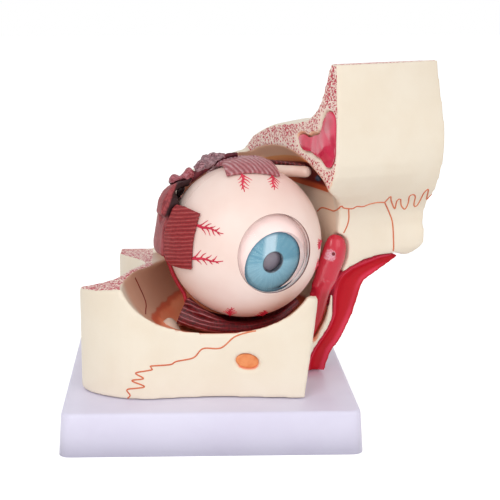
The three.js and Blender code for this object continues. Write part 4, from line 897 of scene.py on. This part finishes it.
def inner_coat():
    """Brown coat inside the eyeball, with a pale pink collar round the iris that has a brown edge, wider at
    the top as a painted shadow of the opening's upper edge.
    """
    paint = Paint("inner_coat_paint", 0.4)
    nose, back, up = paint.parts(paint.head)
    # The collar's edge leans so that its brown is wider at the top: a painted shadow under the opening's
    # upper edge
    leaning = paint.sloped(up, 0.05, paint.length(nose, up))
    behind_edge = paint.any_of((leaning, 18.3, 17.9), (back, -31, -30))
    collar = paint.all_of((back, -17, -19), behind_edge)
    brown = paint.mix(paint.noise(0.2, 4), (120, 62, 56), (96, 44, 42))
    pink = paint.mix(paint.noise(0.1, 3), (246, 222, 216), (238, 206, 202))
    paint.coat(paint.mix(collar, brown, pink), paint.noise(0.8, 3), 0.1)
    for node, body in (("choroid_front", "front_half"), ("choroid_rear", "eyeball")):
        piece = merged_copy(node + "_coat", node)
        shaped(piece, "SUBSURF", subdivision_type="SIMPLE", levels=1, render_levels=1)
        bpy.ops.object.shade_smooth_by_angle(angle=math.radians(35))
        put(piece, paint.material, "choroid", node, body=body)


# Muscles and soft parts


# Tubes through places on the head, with the radius at each. The first three are joined to the side
# muscle, to the sling and to the opened duct. The gland's strip is a dark sheet between gland and eye, a
# painted shadow.
HOOD_RIM = [
    (-39.6, -9, 4, 1.0), (-39.8, -9, 12, 1.8), (-39, -9, 19, 2.2), (-37.1, -9, 24.3, 2.1),
    (-34.2, -9.5, 26.6, 1.8), (-30.4, -10, 27.8, 1.5), (-25.8, -11, 28.7, 1.3), (-22.6, -12.4, 30.4, 0.9),
]
SLING_EDGE = [
    (-29.4, -3, -27.4, 1.8), (-27.5, 0, -30.2, 2.2), (-24.6, 3, -32.8, 2.2), (-20.1, 6, -35.6, 2),
    (-13.5, 8, -38.4, 1.6), (-6.9, 10, -40.2, 1.0),
]
DUCT_BED = [
    (40.4, 10.6, -21, 5.2), (38.6, 9.8, -26.5, 4.9), (38.2, 8.8, -31.5, 4.6), (37.9, 8.2, -36.5, 4.2),
    (37, 8, -41.5, 3.6), (35.6, 8, -46.5, 2.7), (34.2, 8.2, -50.5, 1.8), (33.2, 8.4, -53.5, 0.9),
]
GLAND_SHADOW_STRIP = [
    (-33, -19, 23.5, 1.6), (-28, -18, 27, 1.8), (-22.4, -15.2, 29.4, 1.9), (-18.5, -13.9, 32.4, 2.0),
    (-15.7, -12.9, 34.7, 2.0), (-12.4, -11.8, 37.1, 2.0), (-9, -10.5, 39.3, 1.6), (-4.9, -8.9, 40.9, 1.4),
    (-0.5, -6.9, 41.5, 1.2),
]
# Strip beside the eye's lower left edge
RED_STRIP = [
    (-37.4, -12.5, -5.5, 0.95), (-35.3, -10.7, -11.2, 0.95), (-34.2, -9.2, -15.8, 0.95),
    (-32.3, -7.3, -20.4, 0.95), (-30, -5.2, -25, 0.95), (-29.4, -3.4, -29.5, 0.95),
]

# How far pieces are drawn from the place of their solids, and how much fuller the sinus's lining is
SLING_STEP = Vector((-0.3, -0.3, -1.5)) * MM
SPUR_STEP = Vector((0.2, -1.5, -2.4)) * MM
SAC_STEP = -NOSE * 0.8 * MM
TROUGH_STEP = NOSE * 1.0 * MM
SINUS_STEP = -NOSE * 0.75 * MM
SINUS_SWELL = 0.55
# Pieces drawn larger or smaller than their solids: how many times, and from which place
RESIZED = {
    "floor_spur": ((1.4, 1.3, 1.5), Vector((-18.2, -20, 48)) * MM),
    "trochlea": ((0.48, 0.6, 0.48), at(EYE_RADIUS + 1.6, 3.4, EYE_RADIUS - 8.2)),
}
# Painted shade in the hollow between the hood and the eye, and behind the hood
HOLLOW_SHADE = (44, 10, 14)


def muscle(node, slot, material, body="socket"):
    piece = merged_copy(node + "_flesh", node)
    softened(piece, voxel=0.55, rounds=3)
    put(piece, material, slot, node, body=body)


def belly_finish():
    """Mauve muscle, finely mottled, with painted shade where it curls over towards the eye."""
    paint = Paint("side_muscle", 0.55, 0.05, 0.1)
    grain = paint.noise(1.1, 4, paint.stretched(paint.head, (1, 1, 0.6)))
    mauve = paint.mix((grain, 0.35, 0.65), (164, 70, 72), (122, 44, 50))
    mauve = paint.mix((paint.noise(0.12, 3), 0.45, 0.7), mauve, (164, 80, 84))
    # Painted shade in the hollow by the eye
    colour = paint.mix(paint.attribute("hollow"), mauve, HOLLOW_SHADE)
    return paint.coat(colour, grain, 0.2, 0.5)


def shade_in_hollow(point, normal):
    """How much painted shade a place of the side muscle gets: where it lies between the hood's rim and the
    eye, or faces the eye.
    """
    _, _, up = in_head(point)
    to_eye = EYE_CENTRE - point
    near = share(to_eye.length / MM, 44.8, 44.0) * share(up, 13, 16)
    return max(near, share(normal.dot(to_eye.normalized()), 0.15, 0.55))


# How much painted shade the levator and gland get where they lie behind the hood
def shade_behind_hood(point, _):
    nose, _, up = in_head(point)
    return share(up, 29.0, 27.0) * share(nose, -22.5, -24.0)


def torn_finish(name, light, dark, grey, amount):
    """Crumpled tissue: streaks of three shades drawn out along the eye, with painted shade behind the hood.
    """
    paint = Paint(name, 0.36, 0.35, 0.2)
    places = paint.spread(paint.head, 0.25, 5.0)
    streaks = paint.noise(0.5, 4, paint.stretched(places, (0.8, 1, 2.6)), 0.6)
    fine = paint.noise(1.0, 3, paint.stretched(places, (0.5, 1, 3)))
    colour = paint.mix((streaks, 0.42, 0.6), dark, light)
    patches = paint.partly((paint.noise(0.22, 2), 0.42, 0.6), amount)
    colour = paint.mix(patches, colour, paint.mix((fine, 0.4, 0.65), grey, light))
    # Painted shade behind the hood
    colour = paint.mix(paint.attribute("hollow"), colour, HOLLOW_SHADE)
    height = paint.total(streaks, paint.partly(fine, 0.6))
    return paint.coat(colour, height, 1.0, 0.9)


def muscles():
    stub_red = striped("side_muscle_end", (158, 42, 46), (140, 32, 38), (200, 104, 100),
                       ACROSS_UP, 1.9, lean=-0.17, sharp=0.98, faint=0.35, coat=0.1)
    stub_pink = striped("upper_muscle_end", (190, 108, 114), (170, 92, 98), (196, 150, 154),
                        ACROSS_NOSE, 2.3, lean=-0.157, sharp=0.7, faint=0.6, coat=0.1)
    upper = striped("upper_muscle", (176, 110, 122), (160, 92, 104), (206, 164, 174), ACROSS_NOSE, 1.9)
    red = striped("inner_muscle", (164, 50, 58), (140, 40, 48), (196, 96, 100), ACROSS_UP, 1.8)
    sling = striped("sling_muscle", (122, 18, 28), (72, 8, 16), (200, 132, 136),
                    RADIAL, 2.1, lean=0.35, sharp=0.96, faint=0.4, coat=0.12, fade=(-22, -13))
    deep = striped("deep_muscle", (104, 24, 30), (80, 18, 24), (140, 56, 62), ACROSS_NOSE, 1.8, sharp=0.9)
    muscle("lateral_rectus_stub", "muscle_red", stub_red, "front_half")
    muscle("superior_rectus_stub", "muscle_pink", stub_pink, "front_half")
    belly = joined(merged_copy("lateral_rectus_flesh", "lateral_rectus"), tube("hood_rim", HOOD_RIM))
    softened(belly, voxel=0.6, rounds=14)
    # The side muscle gets painted shade in the hollow by the eye
    mark(belly, "hollow", shade_in_hollow)
    put(belly, belly_finish(), "muscle_mauve", "lateral_rectus")
    muscle("superior_rectus", "muscle_pink", upper)
    muscle("medial_rectus", "muscle_red", red)
    muscle("inferior_rectus", "muscle_dark", deep)
    low_sling = merged_copy("inferior_oblique_flesh", "inferior_oblique")
    moved_by(low_sling, SLING_STEP)
    low_sling = joined(low_sling, tube("sling_edge", SLING_EDGE))
    softened(low_sling, voxel=0.55, rounds=6, swell=0.6)
    put(low_sling, sling, "muscle_dark", "inferior_oblique")
    strip = tube("red_strip", RED_STRIP)
    softened(strip, voxel=0.3, rounds=4)
    put(strip, mottled("strip_crimson", (186, 34, 52), (150, 20, 36), 0.4), "muscle_red")
    muscle("superior_oblique", "muscle_dark", deep)


def crumpled_parts():
    """The lid's lifting muscle and the tear gland, and a dark strip between the gland and the eye that is a
    painted shadow.
    """
    flesh = torn_finish("levator_flesh", (190, 108, 118), (146, 42, 52), (170, 110, 124), 0.35)
    grey_pink = torn_finish("gland_flesh", (190, 140, 148), (96, 34, 46), (150, 134, 140), 0.6)
    for node, material, slot, size, depth in (
        ("levator_palpebrae", flesh, "muscle_red", 3.4, 1.6),
        ("lacrimal_gland", grey_pink, "gland", 1.8, 1.5),
    ):
        piece = merged_copy(node + "_lump", node)
        softened(piece, voxel=0.45, rounds=14)
        lumpy(piece, size, depth)
        # The levator and gland get painted shade where they lie behind the hood
        mark(piece, "hollow", shade_behind_hood)
        put(piece, material, slot, node)
    # A painted shadow: a dark strip between the gland and the eye
    shadow_strip = tube("gland_shadow_strip", GLAND_SHADOW_STRIP)
    softened(shadow_strip, voxel=0.5, rounds=4)
    lumpy(shadow_strip, 3, 0.8)
    put(shadow_strip, mottled("shadow_strip_maroon", (104, 30, 42), (70, 16, 26), 0.5, 0.5, 1.2, 0.3), "gland")


def trough_finish():
    """Crimson lining, deeper red in the hollow and pink along its rims."""
    paint = Paint("nasal_crimson", 0.5, 0.0, 0.05)
    clouds = paint.noise(0.1, 3)
    deep = paint.mix(clouds, (200, 6, 32), (182, 2, 26))
    pink = paint.mix(clouds, (232, 76, 104), (222, 58, 88))
    return paint.coat(paint.mix(paint.attribute("rim"), deep, pink), clouds, 0.05, 0.5)


def soft_linings():
    """The trough of the nose, the tear sac with its opened duct, and the sinus's lining."""
    pink = mottled("sinus_pink_wet", (226, 62, 96), (206, 40, 74), 0.2, 0.12, 0.4, 0.2, 0.6)
    trough = merged_copy("nasal_lining_soft", "nasal_lining")
    softened(trough, voxel=0.5, rounds=60)
    moved_by(trough, TROUGH_STEP)
    mark(trough, "rim", lambda _, normal: share(normal.dot(FRONT), 0.86, 0.6))
    put(trough, trough_finish(), "crimson", "nasal_lining")
    sac = merged_copy("tear_sac_soft", "lacrimal_sac", "nasolacrimal_duct")
    sac = joined(sac, tube("duct_bed", DUCT_BED))
    softened(sac, voxel=0.5, rounds=10)
    moved_by(sac, SAC_STEP)
    put(sac, sac_finish(), "crimson", "lacrimal_sac", "nasolacrimal_duct")
    sinus = merged_copy("frontal_sinus_lumps", "frontal_sinus_lining")
    softened(sinus, voxel=0.45, rounds=3)
    shaped(sinus, "DISPLACE", strength=SINUS_SWELL * MM, mid_level=0)
    moved_by(sinus, SINUS_STEP)
    lumpy(sinus, 11, -1.7, "VORONOI", 0.0)
    shaped(sinus, "SMOOTH", factor=0.5, iterations=12)
    put(sinus, pink, "sinus_pink", "frontal_sinus_lining")


# Cords, trims, screws and plinth


def cords_and_trims():
    tendon = mottled("tendon_cream", (252, 228, 214), (244, 210, 196), 0.3, 0.1, 1.0, 0.05, 0.4)
    nerve = mottled("nerve_yellow", (238, 208, 140), (226, 190, 118), 0.4, 0.1, 1.0, 0.1)
    orange = mottled("hole_orange", (238, 152, 98), (228, 134, 80), 0.45, 0.3, 0.8, 0.1)
    pale = mottled("spur_cream", (232, 216, 198), (216, 196, 178), 0.45, 0.1, 1.0, 0.1)
    blue = mottled("pulley_blue_grey", (56, 60, 78), (42, 44, 62), 0.5, 0.2, 1.0, 0.1)
    for node, material, slot, voxel in (
        ("superior_oblique_tendon", tendon, "tendon", 0.5), ("tendon_ring", tendon, "tendon", 0.5),
        ("trochlea", blue, "tendon", 0.4), ("optic_nerve", nerve, "nerve", 0.5),
        ("nerve_stub", nerve, "nerve", 0.5), ("floor_spur", pale, "bone", 0.5),
        ("infraorbital_plug", orange, "foramen_orange", 0.4),
    ):
        piece = merged_copy(node + "_smooth", node)
        softened(piece, voxel, rounds=3)
        if node in RESIZED:
            factors, centre = RESIZED[node]
            edited(piece, bpy.ops.transform.resize, value=factors, center_override=centre)
        if node == "floor_spur":
            moved_by(piece, SPUR_STEP)
        put(piece, material, slot, node, body="eyeball" if node == "nerve_stub" else "socket")


def screws():
    steel = mottled("screw_steel", (186, 189, 196), (170, 172, 180), 0.3)
    steel.node_tree.nodes["Principled BSDF"].inputs["Metallic"].default_value = 1
    for name, node in nodes.items():
        if "screw" in name:
            node.data.materials.clear()
            node.data.materials.append(steel)


def plinth_and_clear_body():
    plastic = mottled("plinth_plastic", (229, 225, 244), (225, 220, 240), 0.32, 0.03, 1.5, 0.03)
    glass = clear("vitreous_clear", (0.97, 0.99, 1, 1), 0.02, 1.3)
    for name, node, body, material, slot in (
        ("base_shell_plastic", "base_shell", "socket", plastic, "base_plastic"),
        ("base_cover_plastic", "base_cover", "socket", plastic, "base_plastic"),
        ("vitreous_core", "vitreous_body", "vitreous", glass, "clear_body"),
    ):
        piece = merged_copy(name, node)
        bpy.ops.object.shade_smooth_by_angle(angle=math.radians(34))
        put(piece, material, slot, node, body=body)


bone_piece = drawn_bones()
sutures(bone_piece)
eyeball()
iris_and_lens()
cornea_dome()
inner_coat()
vessels()
muscles()
crumpled_parts()
soft_linings()
cords_and_trims()
screws()
plinth_and_clear_body()


# Floor, light and camera. Places and sizes here are in metres, and angles in degrees.


FLOOR_GLOW = 0.62
SKY_LIGHT = 0.6
LAMP_AIM = Vector((0.02, 0, 0.09))
# Name, place, width and height, and power
LAMPS = [
    ("key_light", (-0.35, -0.75, 0.75), (0.45, 0.35), 2.6),
    ("fill_light", (0.7, -0.6, 0.45), (0.5, 0.5), 1.3),
    ("front_light", (-0.12, -0.95, 0.14), (0.7, 0.4), 1.7),
]
CAMERA_PLACE = (-0.0158, -0.5878, 0.2165)
CAMERA_DOWN = 12.79
CAMERA_RIGHT = 1.65
CAMERA_LENS = 86.4
CAMERA_SHIFT = 0.08


def seen_directly(tree):
    """1 for rays from the camera, also after glass or a shiny face, and 0 for light on the model."""
    rays = tree.nodes.new("ShaderNodeLightPath")
    seen = rays.outputs["Is Camera Ray"]
    for kind in ("Is Transmission Ray", "Is Glossy Ray"):
        either = tree.nodes.new("ShaderNodeMath")
        either.operation = "MAXIMUM"
        tree.links.new(seen, either.inputs[0])
        tree.links.new(rays.outputs[kind], either.inputs[1])
        seen = either.outputs[0]
    return seen


def chosen(tree, lighting, shown, surface):
    """One shader for what lights the model, and another for what is seen."""
    choose = tree.nodes.new("ShaderNodeMixShader")
    tree.links.new(seen_directly(tree), choose.inputs["Fac"])
    tree.links.new(lighting.outputs[0], choose.inputs[1])
    tree.links.new(shown.outputs[0], choose.inputs[2])
    tree.links.new(choose.outputs[0], surface.inputs["Surface"])


def floor():
    bpy.ops.mesh.primitive_plane_add(size=8, location=(0, 0, -0.0002))
    ground = bpy.context.object
    ground.name = "floor"
    material = bpy.data.materials.new("floor_white")
    material.use_nodes = True
    tree = material.node_tree
    shader = tree.nodes["Principled BSDF"]
    for key, value in (("Base Color", (0.8, 0.8, 0.8, 1)), ("Roughness", 0.9), ("Specular IOR Level", 0.1)):
        shader.inputs[key].default_value = value
    glow = tree.nodes.new("ShaderNodeEmission")
    glow.inputs["Strength"].default_value = FLOOR_GLOW
    both = tree.nodes.new("ShaderNodeAddShader")
    tree.links.new(shader.outputs[0], both.inputs[0])
    tree.links.new(glow.outputs[0], both.inputs[1])
    chosen(tree, shader, both, tree.nodes["Material Output"])
    ground.data.materials.append(material)


def sky():
    world = bpy.data.worlds.new("studio")
    bpy.context.scene.world = world
    world.use_nodes = True
    tree = world.node_tree
    light = tree.nodes["Background"]
    white = tree.nodes.new("ShaderNodeBackground")
    for node, strength in ((light, SKY_LIGHT), (white, 1)):
        node.inputs["Color"].default_value = (1, 1, 1, 1)
        node.inputs["Strength"].default_value = strength
    chosen(tree, light, white, tree.nodes["World Output"])


def soft_lamp(name, place, size, power):
    data = bpy.data.lights.new(name, "AREA")
    data.shape = "RECTANGLE"
    data.size, data.size_y = size
    data.energy = power
    lamp = bpy.data.objects.new(name, data)
    lamp.location = place
    lamp.rotation_euler = (LAMP_AIM - Vector(place)).to_track_quat("-Z", "Y").to_euler()
    bpy.context.scene.collection.objects.link(lamp)


def camera():
    data = bpy.data.cameras.new("camera")
    data.sensor_width = 36
    data.lens = CAMERA_LENS
    data.shift_x = CAMERA_SHIFT
    eye = bpy.data.objects.new("camera", data)
    eye.location = CAMERA_PLACE
    eye.rotation_euler = (math.radians(90 - CAMERA_DOWN), 0, -math.radians(CAMERA_RIGHT))
    bpy.context.scene.collection.objects.link(eye)
    bpy.context.scene.camera = eye


floor()
sky()
camera()
for lamp in LAMPS:
    soft_lamp(*lamp)

bpy.context.scene.view_settings.view_transform = "Standard"
